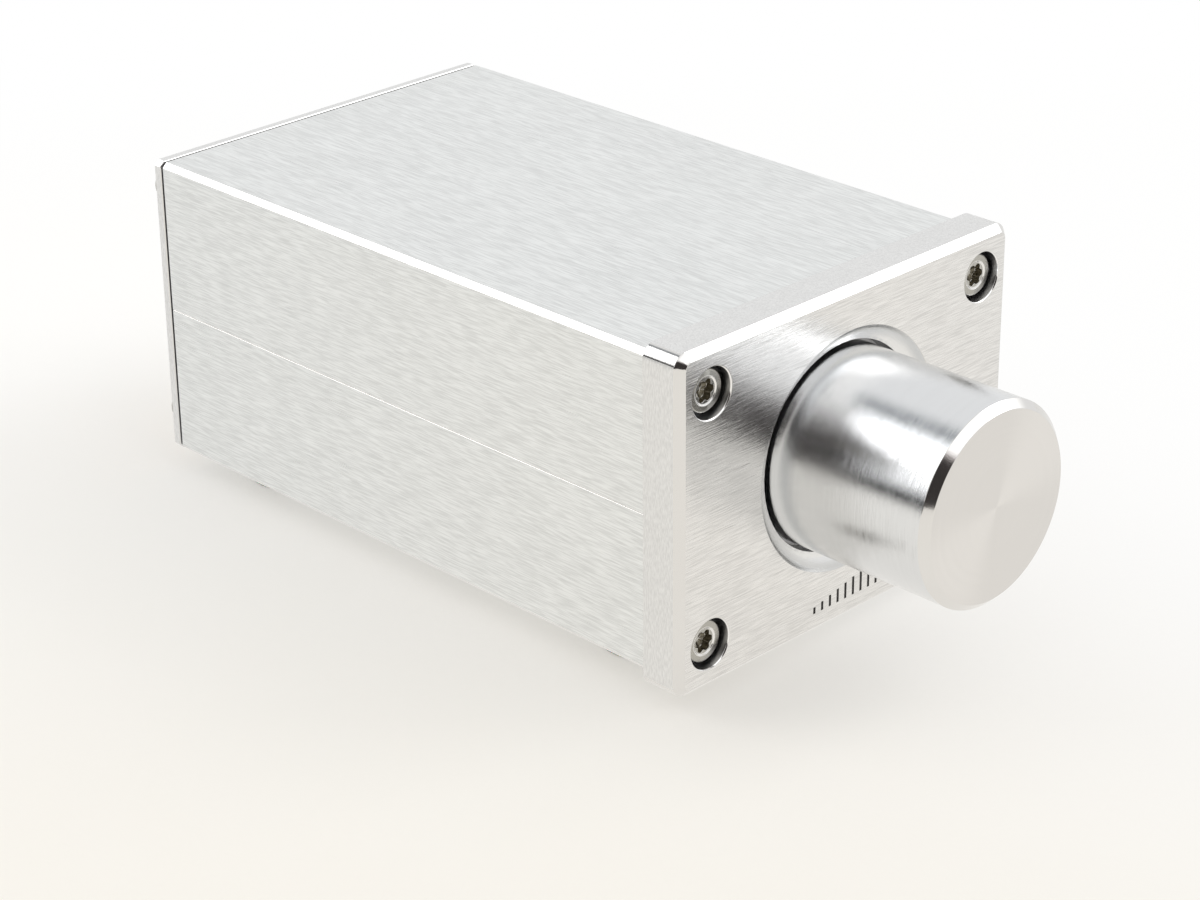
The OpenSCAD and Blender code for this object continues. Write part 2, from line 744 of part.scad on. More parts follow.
// Resistor board of one gang, with recesses for its three solder lugs
module pot_board(y) {
    color([0.55, 0.36, 0.18]) translate([0, 0, knob_z]) difference() {
        pot_slab(y, board_t);
        bar_at(board_hole_d, y - over, board_t + 2 * over);
        for (i = [-1, 0, 1])
            translate([i * lug_pitch - lug_w / 2 - fit_gap, y + board_t - lug_t, -pot_w / 2 - over])
                cube([lug_w + 2 * fit_gap, lug_t + over, lug_root + fit_gap + over]);
    }
}

// Three solder lugs of one gang, set into the back of its resistor board
module pot_lugs(y) {
    color("gold") for (i = [-1, 0, 1])
        difference() {
            translate([i * lug_pitch - lug_w / 2, y + board_t - lug_t, lug_bottom_z])
                cube([lug_w, lug_t, lug_root + lug_free]);
            translate([i * lug_pitch, 0, lug_hole_z])
                bar_at(solder_hole_d, y + board_t - lug_t - over, lug_t + 2 * over);
        }
}

// Rear cover plate, which carries the shaft's journal
module pot_rear_plate() {
    color("lightgray") translate([0, 0, knob_z]) difference() {
        pot_slab(pot_plate_rear_y, pot_plate_t);
        bar_at(journal_d + 2 * run_gap, pot_plate_rear_y - over, pot_plate_t + 2 * over);
    }
}

// Four long rivets that clamp the stack
module pot_rivets() {
    color("gray") translate([0, 0, knob_z]) at_rivets() {
        bar_at(rivet_d, panel_back_y, pot_back_y - panel_back_y);
        bar_at(rivet_head_d, panel_back_y, rivet_head_t);
        bar_at(rivet_head_d, pot_back_y, rivet_head_t);
    }
}

// Places its children on the axis of one phono jack
module at_jack(side, row) {
    translate([side * jack_x, 0, mid_z + row * jack_z]) children();
}

// Turned jack shell: threaded stem, flange and the barrel that the plug grips
module jack_shell(side, row) {
    edge = jack_flange_t / 4;
    color("gold") at_jack(side, row) turned_at(0) polygon([
        [jack_bore_d / 2, stem_y], [stem_d / 2 - edge, stem_y], [stem_d / 2, stem_y + edge],
        [stem_d / 2, flange_y], [jack_flange_d / 2, flange_y], [jack_flange_d / 2, barrel_y - edge],
        [jack_flange_d / 2 - edge, barrel_y], [barrel_d / 2, barrel_y], [barrel_d / 2, jack_end_y - edge],
        [barrel_d / 2 - edge, jack_end_y], [jack_bore_d / 2, jack_end_y]
    ]);
}

// Coloured ring outside the rear panel, with a shoulder in the panel's hole
module jack_ring(side, row, tint) {
    color(tint) at_jack(side, row) turned_at(0) polygon([
        [stem_hole_d / 2, rear_y - shoulder_l], [shoulder_d / 2, rear_y - shoulder_l],
        [shoulder_d / 2, rear_y], [ring_d / 2, rear_y], [ring_d / 2, flange_y], [stem_hole_d / 2, flange_y]
    ]);
}

// Insulating bush inside the rear panel, with its own shoulder
module jack_bush(side, row) {
    color("dimgray") at_jack(side, row) turned_at(0) polygon([
        [stem_hole_d / 2, bush_y], [bush_d / 2, bush_y], [bush_d / 2, body_back_y],
        [shoulder_d / 2, body_back_y], [shoulder_d / 2, body_back_y + shoulder_l],
        [stem_hole_d / 2, body_back_y + shoulder_l]
    ]);
}

// White insulator that holds the contact in the middle of the shell
module jack_insulator(side, row) {
    outer = jack_bore_d / 2 - fit_gap;
    inner = contact_d / 2 + fit_gap;
    lip = contact_bore / 2 + fit_gap;
    collar_y = stem_y - insulator_collar_t;
    color("white") at_jack(side, row) turned_at(0) polygon([
        [inner, collar_y], [insulator_collar_d / 2, collar_y], [insulator_collar_d / 2, stem_y],
        [outer, stem_y], [outer, jack_end_y - insulator_recess], [lip, jack_end_y - insulator_recess],
        [lip, contact_end_y], [inner, contact_end_y]
    ]);
}

// Centre contact: a socket for the plug's pin and a tail with a solder cup
module jack_contact(side, row) {
    back_y = stem_y - insulator_collar_t;
    cup = solder_hole_d / 2;
    color("gold") at_jack(side, row) turned_at(0) polygon([
        [cup, tail_y], [tail_d / 2, tail_y], [tail_d / 2, back_y], [contact_d / 2, back_y],
        [contact_d / 2, contact_end_y], [contact_bore / 2, contact_end_y],
        [contact_bore / 2, contact_floor_y], [0, contact_floor_y],
        [0, tail_y + solder_cup_depth], [cup, tail_y + solder_cup_depth]
    ]);
}

// Nuts of the four jacks
module jack_nuts() {
    color("goldenrod") for (s = [-1, 1], u = [-1, 1])
        at_jack(s, u) hex_nut(jack_nut_af, jack_nut_t, stem_hole_d, jack_nut_y);
}

// Solder tags of the four jacks, their tongues turned to the middle
module jack_solder_tags() {
    color("lightgray") for (s = [-1, 1], u = [-1, 1]) at_jack(s, u) difference() {
        union() {
            bar_at(tag_d, tag_y, tag_t);
            translate([s > 0 ? -tag_reach : 0, tag_y, -tag_w / 2]) cube([tag_reach, tag_t, tag_w]);
        }
        bar_at(stem_hole_d, tag_y - over, tag_t + 2 * over);
        for (reach = [tag_hole_outer, tag_hole_inner])
            translate([-s * reach, 0, 0]) bar_at(solder_hole_d, tag_y - over, tag_t + 2 * over);
    }
}

// Bare copper link between the tags of one channel's two jacks
module ground_link(row) {
    bend_r = jack_x - tag_hole_outer;
    leg_l = bend_r;
    color("peru") translate([0, 0, mid_z + row * jack_z]) {
        for (s = [-1, 1]) translate([s * bend_r, 0, 0])
            bar_at(core_d, tag_y - leg_l, leg_l + tag_t + core_d / 2);
        translate([0, tag_y - leg_l, 0]) rotate(180) rotate_extrude(angle = 180)
            translate([bend_r, 0]) circle(d = core_d);
    }
}

// Smooth curve through a list of points, n steps from each to the next
function spline_point(a, b, c, d, t) =
    (2 * b + (c - a) * t + (2 * a - 5 * b + 4 * c - d) * t * t + (3 * b - a - 3 * c + d) * t * t * t) / 2;
function spline(pts, n) = let (m = len(pts) - 1) [
    for (i = [0 : m - 1], k = [0 : n - 1]) spline_point(
        i == 0 ? 2 * pts[0] - pts[1] : pts[i - 1], pts[i], pts[i + 1],
        i + 1 == m ? 2 * pts[m] - pts[m - 1] : pts[i + 2], k / n),
    pts[m]
];

// Ring of points round a path's point, square to the direction there
function path_ring(p, direction, r, sides) = let (
    t = direction / norm(direction),
    u = cross(t, [1, 0, 0]) / norm(cross(t, [1, 0, 0])),
    v = cross(t, u)
) [for (k = [0 : sides - 1]) p + r * (cos(360 * k / sides) * u + sin(360 * k / sides) * v)];

// Tube along a path with its own radius at each point
module tube(path, radii, sides) {
    last = len(path) - 1;
    rings = [
        for (i = [0 : last])
            path_ring(path[i], path[min(i + 1, last)] - path[max(i - 1, 0)], radii[i], sides)
    ];
    start_cap = [for (k = [0 : sides - 1]) k];
    end_cap = [for (k = [sides - 1 : -1 : 0]) last * sides + k];
    walls = [
        for (i = [0 : last - 1], k = [0 : sides - 1])
            let (a = i * sides + k, b = i * sides + (k + 1) % sides)
                each [[a, a + sides, b], [a + sides, b + sides, b]]
    ];
    polyhedron(
        points = [for (ring = rings, p = ring) p],
        faces = concat([start_cap], walls, [end_cap])
    );
}

// Insulated wire through a list of points, with bare ends that run straight along Y
module wire(pts, tint) {
    sides = 8;
    strip = wire_d / 8;
    first = pts[0];
    end = pts[len(pts) - 1];
    middle = spline(concat(
        [first + [0, bare_l + strip, 0]],
        [for (i = [1 : len(pts) - 2]) pts[i]],
        [end - [0, bare_l + strip, 0]]
    ), 6);
    path = concat([first, first + [0, bare_l, 0]], middle, [end - [0, bare_l, 0], end]);
    radii = concat(
        [core_d / 2, core_d / 2], [for (p = middle) wire_d / 2], [core_d / 2, core_d / 2]
    );
    color(tint) tube(path, radii, sides);
}

// How far a wire's core reaches through a lug or tag, and down a solder cup, as shares of each
through_share = 1.6;
cup_share = 0.9;
// Solder hole of one lug: the wire's end, on the front face of the lug
function lug_at(gang_board_y, i) =
    [i * lug_pitch, gang_board_y + board_t - through_share * lug_t, lug_hole_z];
// Solder cup of one jack's contact: the wire's end, inside the cup
function cup_at(side, row) =
    [side * jack_x, tail_y + cup_share * solder_cup_depth, mid_z + row * jack_z];
// Inner hole of one jack's solder tag: the wire's end, just through the tongue
function tag_at(side, row) =
    [side * (jack_x - tag_hole_inner), tag_y + through_share * tag_t, mid_z + row * jack_z];
// Room behind the potentiometer, split into shares of its length
room_l = tail_y - pot_back_y;
function room_y(share) = pot_back_y + share * room_l;
// Gap between two lugs that a wire of the front gang passes through
function lane_x(i) = i * lug_pitch / 2;
wire_floor_z = lug_hole_z - wire_d / 2;

// Signal wire from the input jack to the front gang
module wire_input_left() {
    end = cup_at(1, 1);
    wire([
        lug_at(board_front_y, 1), [lane_x(3), board_rear_y, wire_floor_z],
        [lane_x(3.4), room_y(0.12), wire_floor_z], [jack_x, room_y(0.38), mid_z],
        [jack_x, room_y(0.78), end[2]], end
    ], "white");
}

// Signal wire from the front gang's wiper to the output jack
module wire_output_left() {
    end = cup_at(-1, 1);
    wire([
        lug_at(board_front_y, 0), [lane_x(-1), board_rear_y, wire_floor_z],
        [lane_x(-1), room_y(0.1), wire_floor_z], [lane_x(-1.2), room_y(0.32), mid_z - jack_z / 4],
        [-jack_x * 0.8, room_y(0.66), end[2] - jack_z / 3], [-jack_x, room_y(0.88), end[2]], end
    ], "white");
}

// Ground wire from the front gang to the output jack's tag
module wire_ground_left() {
    end = tag_at(-1, 1);
    wire([
        lug_at(board_front_y, -1), [lane_x(-3), board_rear_y, wire_floor_z],
        [lane_x(-3.2), room_y(0.1), wire_floor_z + wire_d], [lane_x(-3.2), room_y(0.3), mid_z + jack_z / 2],
        [end[0] * 1.2, room_y(0.56), end[2] + jack_z / 3], [end[0], room_y(1), end[2]], end
    ], "dimgray");
}

// Signal wire from the input jack to the rear gang
module wire_input_right() {
    end = cup_at(1, -1);
    wire([
        lug_at(board_rear_y, 1), [lane_x(2.2), room_y(0.3), wire_floor_z],
        [jack_x, room_y(0.78), end[2]], end
    ], "red");
}

// Signal wire from the rear gang's wiper to the output jack
module wire_output_right() {
    end = cup_at(-1, -1);
    wire([
        lug_at(board_rear_y, 0), [lane_x(-0.2), room_y(0.28), wire_floor_z],
        [-jack_x * 0.8, room_y(0.62), wire_floor_z], [-jack_x, room_y(0.86), end[2]], end
    ], "red");
}

// Ground wire from the rear gang to the output jack's tag
module wire_ground_right() {
    end = tag_at(-1, -1);
    wire([
        lug_at(board_rear_y, -1), [lane_x(-2), room_y(0.2), lug_hole_z + wire_d],
        [end[0] * 1.1, room_y(0.56), end[2] + jack_z / 3], [end[0], room_y(1), end[2]], end
    ], "dimgray");
}

front_panel();
rear_panel();
top_shell();
bottom_shell();
front_screws();
rear_screws();
foot(-1, panel_back_y + foot_inset_y);  // foot_front_left
foot(1, panel_back_y + foot_inset_y);  // foot_front_right
foot(-1, body_back_y - foot_inset_y);  // foot_rear_left
foot(1, body_back_y - foot_inset_y);  // foot_rear_right
volume_knob();
knob_set_screw();
pot_shaft();
rotor(pot_housing_y, true);  // pot_rotor_front
rotor(housing_rear_y, false);  // pot_rotor_rear
wiper(pot_housing_y);  // pot_wiper_front
wiper(housing_rear_y);  // pot_wiper_rear
pot_bushing();
pot_washer();
pot_nut();
pot_front_plate();
pot_housing(pot_housing_y, true);  // pot_housing_front
pot_housing(housing_rear_y, false);  // pot_housing_rear
pot_board(board_front_y);  // pot_board_front
pot_board(board_rear_y);  // pot_board_rear
pot_rear_plate();
pot_rivets();
pot_lugs(board_front_y);  // pot_lugs_front
pot_lugs(board_rear_y);  // pot_lugs_rear
jack_shell(1, 1);  // jack_shell_input_left
jack_shell(1, -1);  // jack_shell_input_right
jack_shell(-1, 1);  // jack_shell_output_left
jack_shell(-1, -1);  // jack_shell_output_right
jack_ring(1, 1, "white");  // jack_ring_input_left
jack_ring(1, -1, "red");  // jack_ring_input_right
jack_ring(-1, 1, "white");  // jack_ring_output_left
jack_ring(-1, -1, "red");  // jack_ring_output_right
jack_bush(1, 1);  // jack_bush_input_left
jack_bush(1, -1);  // jack_bush_input_right
jack_bush(-1, 1);  // jack_bush_output_left
jack_bush(-1, -1);  // jack_bush_output_right
jack_insulator(1, 1);  // jack_insulator_input_left
jack_insulator(1, -1);  // jack_insulator_input_right
jack_insulator(-1, 1);  // jack_insulator_output_left
jack_insulator(-1, -1);  // jack_insulator_output_right
jack_contact(1, 1);  // jack_contact_input_left
jack_contact(1, -1);  // jack_contact_input_right
jack_contact(-1, 1);  // jack_contact_output_left
jack_contact(-1, -1);  // jack_contact_output_right
jack_nuts();
jack_solder_tags();
wire_input_left();
wire_input_right();
wire_output_left();
wire_output_right();
wire_ground_left();
wire_ground_right();
ground_link(1);  // ground_link_left
ground_link(-1);  // ground_link_right
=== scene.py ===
import math

import bpy
from mathutils import Matrix, Vector


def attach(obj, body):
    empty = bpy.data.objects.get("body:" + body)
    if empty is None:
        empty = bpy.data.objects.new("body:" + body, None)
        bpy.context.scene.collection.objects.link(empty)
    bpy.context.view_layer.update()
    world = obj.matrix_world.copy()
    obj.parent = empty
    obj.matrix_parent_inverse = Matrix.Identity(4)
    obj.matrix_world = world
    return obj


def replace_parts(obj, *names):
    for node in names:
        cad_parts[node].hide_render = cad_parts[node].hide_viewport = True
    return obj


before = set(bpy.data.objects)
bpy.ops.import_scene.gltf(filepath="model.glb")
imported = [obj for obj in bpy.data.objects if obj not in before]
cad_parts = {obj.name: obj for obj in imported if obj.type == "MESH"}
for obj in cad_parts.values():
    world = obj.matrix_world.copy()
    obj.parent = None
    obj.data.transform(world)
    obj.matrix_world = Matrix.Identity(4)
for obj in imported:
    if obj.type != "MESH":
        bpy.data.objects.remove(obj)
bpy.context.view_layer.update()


# Camera. It looks down on the box from in front of its left corner, at the photograph's angle,
# through a lens a little longer than normal, and leans by half a degree.
aim = Vector((-0.042845, -0.0442, 0.040195))
distance, focal_length = 0.352495, 94.54
azimuth, elevation, lean = (math.radians(a) for a in (-44.579, 25.336, -0.566))
away = Vector((
    math.sin(azimuth) * math.cos(elevation),
    -math.cos(azimuth) * math.cos(elevation),
    math.sin(elevation),
))
right = Vector((0, 0, 1)).cross(away).normalized()
up = away.cross(right)
leaning_right = right * math.cos(lean) + up * math.sin(lean)
leaning_up = up * math.cos(lean) - right * math.sin(lean)
camera = bpy.data.objects.new("Camera", bpy.data.cameras.new("Camera"))
bpy.context.scene.collection.objects.link(camera)
camera.matrix_world = (
    Matrix.Translation(aim + away * distance)
    @ Matrix((leaning_right, leaning_up, away)).transposed().to_4x4()
)
camera.data.sensor_width = 36
camera.data.lens = focal_length
camera.data.clip_start = 0.01
bpy.context.scene.camera = camera
bpy.context.scene.view_settings.view_transform = "Standard"


# Studio floor. A wide sheet of warm white card, a little creamier near the camera, which fades
# to plain white further back. The camera sees part of it as a painted glow that pales the object's
# shadow, more so to the right. Polished metal sees it in a painted reflection tone, paler in front
# and greyer behind, with no shadow on it.
class Link:
    """A socket of a shader. Sums written on it add Math nodes, and node() adds any other node."""

    def __init__(self, socket):
        self.socket = socket

    def node(self, kind, settings, inputs, output=0):
        tree = self.socket.id_data
        made = tree.nodes.new("ShaderNode" + kind)
        for name, value in settings.items():
            setattr(made, name, value)
        for name, value in inputs.items():
            if isinstance(value, Link):
                tree.links.new(value.socket, made.inputs[name])
            else:
                made.inputs[name].default_value = value
        return Link(made.outputs[output])

    def math(self, operation, first, second):
        return self.node("Math", {"operation": operation}, {0: first, 1: second})

    def __add__(self, other):
        return self.math("ADD", self, other)

    def __radd__(self, other):
        return self.math("ADD", other, self)

    def __sub__(self, other):
        return self.math("SUBTRACT", self, other)

    def __rsub__(self, other):
        return self.math("SUBTRACT", other, self)

    def __mul__(self, other):
        return self.math("MULTIPLY", self, other)

    def __rmul__(self, other):
        return self.math("MULTIPLY", other, self)

    def ramp(self, low, high):
        """0 up to the value low and 1 from the value high on, smooth between them."""
        return self.node("MapRange", {"interpolation_type": "SMOOTHSTEP"},
                         {"Value": self, "From Min": low, "From Max": high})

    def tint(self, first, second):
        """The first colour where this mask is 0 and the second where it is 1."""
        colours = {key: value if isinstance(value, Link) else (*value, 1)
                   for key, value in ((6, first), (7, second))}
        return self.node("Mix", {"data_type": "RGBA"}, {0: self, **colours}, 2)

    def along(self, direction):
        """How far this vector reaches along a direction."""
        return self.node("VectorMath", {"operation": "DOT_PRODUCT"},
                         {0: self, 1: direction}, 1)

    def scaled(self, factors):
        """This vector with its own factor on each axis."""
        return self.node("VectorMath", {"operation": "MULTIPLY"}, {0: self, 1: factors})

    def noise(self, scale, detail):
        """Smooth noise from about 0 to 1 at this vector, with that many waves to a metre."""
        return self.node("TexNoise", {}, {"Vector": self, "Scale": scale, "Detail": detail})

    def relief(self, depth):
        """The normal of a surface with this value as its relief, that many metres deep."""
        return self.node("Bump", {}, {"Height": self, "Distance": depth})


def new_material(name, colour, metallic, roughness):
    """A plain material, its shader, and the place on the piece as a Link."""
    material = bpy.data.materials.new(name)
    material.use_nodes = True
    shader = material.node_tree.nodes["Principled BSDF"]
    shader.inputs["Base Color"].default_value = (*colour, 1)
    shader.inputs["Metallic"].default_value = metallic
    shader.inputs["Roughness"].default_value = roughness
    texture_place = material.node_tree.nodes.new("ShaderNodeTexCoord")
    return material, shader, Link(texture_place.outputs["Object"])


def feed(shader, **sources):
    """Links each named socket of a shader to what varies over the surface."""
    for name, source in sources.items():
        shader.id_data.links.new(source.socket, shader.inputs[name.replace("_", " ")])


FLOOR_WIDE = 6
bpy.ops.object.select_all(action="DESELECT")
bpy.ops.mesh.primitive_grid_add(x_subdivisions=2, y_subdivisions=2, size=FLOOR_WIDE)
floor = bpy.context.active_object
floor.name = floor.data.name = "Floor"
card, card_shader, place = new_material("Warm white card", (0.9, 0.87, 0.82), 0, 0.85)
card_shader.inputs["Specular IOR Level"].default_value = 0.2
backwards = place.along((0.7, 0.71, 0))
paper_tone = place.noise(60, 4)
card_tone = (backwards.ramp(-0.14, 0.10) * 0.9 + 0.1 * paper_tone).tint(
    (0.905, 0.87, 0.80), (0.955, 0.95, 0.935))
feed(card_shader, Base_Color=card_tone)
feed(card_shader, Normal=place.noise(900, 3).relief(0.00003))
tree = card.node_tree
rays = tree.nodes.new("ShaderNodeLightPath")
seen = Link(rays.outputs["Is Camera Ray"])
mirrored = seen.math("MAXIMUM", Link(rays.outputs["Is Glossy Ray"]),
                     Link(rays.outputs["Is Transmission Ray"]))
# Painted light: to the right the floor glows whiter, so the knob's shadow there is paler.
painted_light_to_the_right = (place.along((0.71, -0.70, 0)) + backwards * 0.5).ramp(-0.05, 0.11)
white_backdrop_and_painted_light = seen.math("MAXIMUM", backwards.ramp(0.03, 0.20), 0.9 * painted_light_to_the_right)
# Painted reflection: the floor tone that metal mirrors, paler in front than behind, with no shadow.
painted_reflection_tone = backwards.ramp(-0.06, 0.04).tint((0.97, 0.945, 0.90), (0.89, 0.883, 0.865))
white = tree.nodes.new("ShaderNodeEmission")
tree.links.new(mirrored.tint(white_backdrop_and_painted_light.tint(card_tone, (1, 1, 1)), painted_reflection_tone).socket,
               white.inputs["Color"])
white.inputs["Strength"].default_value = 1
blend = tree.nodes.new("ShaderNodeMixShader")
# Painted light: the camera sees 38 % unshadowed glow near the object, rising where the floor turns
# white, and mirrors see 85 %.
tree.links.new((seen * (0.38 + 0.62 * white_backdrop_and_painted_light) + 0.85 * mirrored).socket, blend.inputs[0])
tree.links.new(card_shader.outputs[0], blend.inputs[1])
tree.links.new(white.outputs[0], blend.inputs[2])
tree.links.new(blend.outputs[0], tree.nodes["Material Output"].inputs["Surface"])
floor.data.materials.append(card)


# Studio light. Two large soft boxes, one behind on the left and one on the right in front, in an
# even white surround with a brighter arched window above in front. Polished metal also mirrors the
# room: dark brown where the photographer stands, dim behind the table and overhead.
world = bpy.data.worlds.new("Studio")
world.use_nodes = True
bpy.context.scene.world = world
sky = world.node_tree
background = sky.nodes["Background"]
toward = Link(sky.nodes.new("ShaderNodeTexCoord").outputs["Generated"])
height = toward.along((0, 0, 1))
photographer = toward.along((-0.62, -0.785, 0)).ramp(0.68, 0.80) * (1 - height.ramp(0.58, 0.68))
table_gap = (height.ramp(-0.02, 0.02) * (1 - height.ramp(0.15, 0.25))
             * toward.along((-0.76, 0.65, 0)).ramp(0.5, 0.8))
overhead = toward.along((-0.13, 0.645, 0.74)).ramp(0.95, 0.98)
arch = toward.along((0.282, -0.842, -0.459))
window = (arch.ramp(0.0, 0.12) * (1 - arch.ramp(0.34, 0.46))
          * toward.along((0.45, -0.50, 0.74)).ramp(0.6, 0.8))
room = ((1 - 0.95 * photographer) * (1 - 0.92 * table_gap) * (1 - 0.6 * overhead)
        * (0.92 + 0.6 * window))
camera_ray = Link(sky.nodes.new("ShaderNodeLightPath").outputs["Is Camera Ray"])
sky.links.new((camera_ray + (1 - camera_ray) * room).socket, background.inputs["Strength"])
room_tone = photographer.tint(overhead.tint((1, 1, 1), (0.92, 0.96, 1)), (1, 0.88, 0.86))
sky.links.new(camera_ray.tint(room_tone, (1, 1, 1)).socket, background.inputs["Color"])


LAMP_AIM = Vector((0, 0, 0.02))
LAMP_AWAY = 0.9


def soft_box(name, direction, wide, high, watts):
    """An oblong area lamp that faces the object's middle."""
    lamp = bpy.data.objects.new(name, bpy.data.lights.new(name, "AREA"))
    bpy.context.scene.collection.objects.link(lamp)
    lamp.data.shape = "RECTANGLE"
    lamp.data.size, lamp.data.size_y = wide, high
    lamp.data.energy = watts
    direction = Vector(direction).normalized()
    lamp.location = direction * LAMP_AWAY + LAMP_AIM
    lamp.rotation_euler = direction.to_track_quat("Z", "Y").to_euler()


soft_box("Box light behind", (-0.465, 0.65, 0.53), 0.5, 0.7, 1.9)
soft_box("Box light right", (0.634, -0.428, 0.644), 0.42, 0.42, 1.2)


# Front panel. A 6 mm aluminium plate, its corners rounded and its face chamfered all round, with a
# turned dish and pocket for the knob, four counterbores and a row of engraved level marks. It is
# brushed across its width before the bright cuts are made, then anodised clear.
FACE_Y, PANEL_BACK_Y, REAR_Y = -0.0442, -0.0382, 0.0550
MIDDLE_Z, KNOB_Z = 0.0247, 0.0257
SCREW_X, SCREW_Z = 0.0246, 0.0165
PANEL_X, PANEL_LOW_Z, PANEL_HIGH_Z = 0.030, 0.0022, 0.0472
CORNER_RADIUS, FACE_CHAMFER = 0.002, 0.001
DISH_RADIUS, DISH_DEEP, POCKET_RADIUS, POCKET_DEEP = 0.0159, 0.0015, 0.0137, 0.004
BORE_RADIUS, BORE_DEEP, BORE_RIM = 0.00325, 0.004, 0.00016
BUSHING_HOLE, SCREW_HOLE = 0.00455, 0.0017
MARKS, MARK_STEP, MARK_HALF, MARK_DEEP = 9, 0.00145, 0.00021, 0.00015
MARK_DROP, MARK_HIGH, MARK_GROWTH = 0.0206, 0.0009, 0.000325
OVER, NEAR = 0.001, 1e-5  # how far a tool overruns a face, and how close counts as the same place


def alone(name):
    """Names the primitive that was just added and puts its place into its mesh."""
    piece = bpy.context.active_object
    piece.name = piece.data.name = name
    bpy.ops.object.transform_apply(location=True, rotation=True, scale=True)
    return piece


def block(name, low, high):
    """A block between two corners."""
    bpy.ops.object.select_all(action="DESELECT")
    bpy.ops.mesh.primitive_cube_add(size=1, location=(Vector(low) + Vector(high)) / 2)
    bpy.context.active_object.scale = Vector(high) - Vector(low)
    return alone(name)


def rod(name, x, z, radius, start, end, sides=96):
    """A round bar along Y."""
    bpy.ops.object.select_all(action="DESELECT")
    bpy.ops.mesh.primitive_cylinder_add(
        vertices=sides, radius=radius, depth=end - start,
        location=(x, (start + end) / 2, z), rotation=(math.pi / 2, 0, 0))
    return alone(name)


def lathe(name, centre, profile, sides=128, axis="Y", caps="both"):
    """Turns a profile of (radius, distance along the axis) steps, ring by ring. The caps are on
    both end rings or on the last one, or with none the last ring joins the first."""
    bpy.ops.object.select_all(action="DESELECT")
    way = Vector((0, 1, 0)) if axis == "Y" else Vector((0, 0, 1))
    radius, reach = profile[0]
    bpy.ops.mesh.primitive_circle_add(
        fill_type="NGON" if caps == "both" else "NOTHING",
        vertices=sides, radius=radius, location=Vector(centre) + way * reach,
        rotation=(-math.pi / 2, 0, 0) if axis == "Y" else (0, 0, 0))
    piece = alone(name)
    bpy.ops.object.mode_set(mode="EDIT")
    bpy.ops.mesh.select_all(action="SELECT")
    for next_radius, next_reach in profile[1:] + (profile[:1] if caps == "none" else []):
        bpy.ops.mesh.extrude_edges_move(
            TRANSFORM_OT_translate={"value": way * (next_reach - reach)})
        grow = next_radius / radius
        bpy.ops.transform.resize(
            value=(grow, 1, grow) if axis == "Y" else (grow, grow, 1),
            center_override=Vector(centre) + way * next_reach)
        radius, reach = next_radius, next_reach
    if caps != "none":
        bpy.ops.mesh.edge_face_add()
    bpy.ops.mesh.select_all(action="SELECT")
    bpy.ops.mesh.remove_doubles(threshold=1e-6)
    bpy.ops.mesh.normals_make_consistent(inside=False)
    bpy.ops.object.mode_set(mode="OBJECT")
    return piece


def pick(piece, kind, test):
    """Opens a piece for editing with only those edges or faces selected that pass the test."""
    bpy.ops.object.select_all(action="DESELECT")
    piece.select_set(True)
    bpy.context.view_layer.objects.active = piece
    bpy.ops.object.mode_set(mode="EDIT")
    bpy.ops.mesh.select_mode(type=kind)
    bpy.ops.mesh.select_all(action="DESELECT")
    bpy.ops.object.mode_set(mode="OBJECT")
    mesh = piece.data
    if kind == "EDGE":
        for edge in mesh.edges:
            edge.select = test(*(mesh.vertices[v].co for v in edge.vertices))
    else:
        for face in mesh.polygons:
            face.select = test(face.center, face.normal)
    bpy.ops.object.mode_set(mode="EDIT")


def chamfer(piece, width, test, segments=1):
    """Cuts a chamfer, or a rounding of several segments, along the edges that pass the test."""
    pick(piece, "EDGE", test)
    bpy.ops.mesh.bevel(offset=width, segments=segments, affect="EDGES")
    bpy.ops.object.mode_set(mode="OBJECT")


def carve(piece, tool, operation="DIFFERENCE"):
    """Cuts a tool out of a piece, or joins it on, and puts the tool away."""
    modifier = piece.modifiers.new(tool.name, "BOOLEAN")
    modifier.operation, modifier.object, modifier.solver = operation, tool, "EXACT"
    bpy.context.view_layer.objects.active = piece
    bpy.ops.object.modifier_apply(modifier=modifier.name)
    bpy.data.objects.remove(tool)


def dress(piece, finishes, choose=None):
    """Gives a piece its finishes, and each face the one that choose names by its number."""
    for finish in finishes:
        piece.data.materials.append(finish)
    if choose:
        for face in piece.data.polygons:
            face.material_index = choose(face.center, face.normal)


def break_edges(piece, width, slot=-1):
    """Takes the sharpness off every edge by a hair, as a file or tumbling does."""
    bpy.ops.object.select_all(action="DESELECT")
    piece.select_set(True)
    bpy.context.view_layer.objects.active = piece
    bpy.ops.object.shade_smooth()
    bpy.ops.object.mode_set(mode="EDIT")
    bpy.ops.mesh.select_all(action="SELECT")
    bpy.ops.mesh.remove_doubles(threshold=2e-6)
    bpy.ops.mesh.dissolve_degenerate(threshold=2e-6)
    bpy.ops.mesh.dissolve_limited(angle_limit=math.radians(0.5), delimit={"MATERIAL"})
    bpy.ops.object.mode_set(mode="OBJECT")
    bevel = piece.modifiers.new("Broken edges", "BEVEL")
    bevel.width, bevel.segments, bevel.material = width, 2, slot
    bevel.angle_limit = math.radians(25)
    bevel.use_clamp_overlap = False
    weighted = piece.modifiers.new("Flat faces", "WEIGHTED_NORMAL")
    for name in (bevel.name, weighted.name):
        bpy.ops.object.modifier_apply(modifier=name)


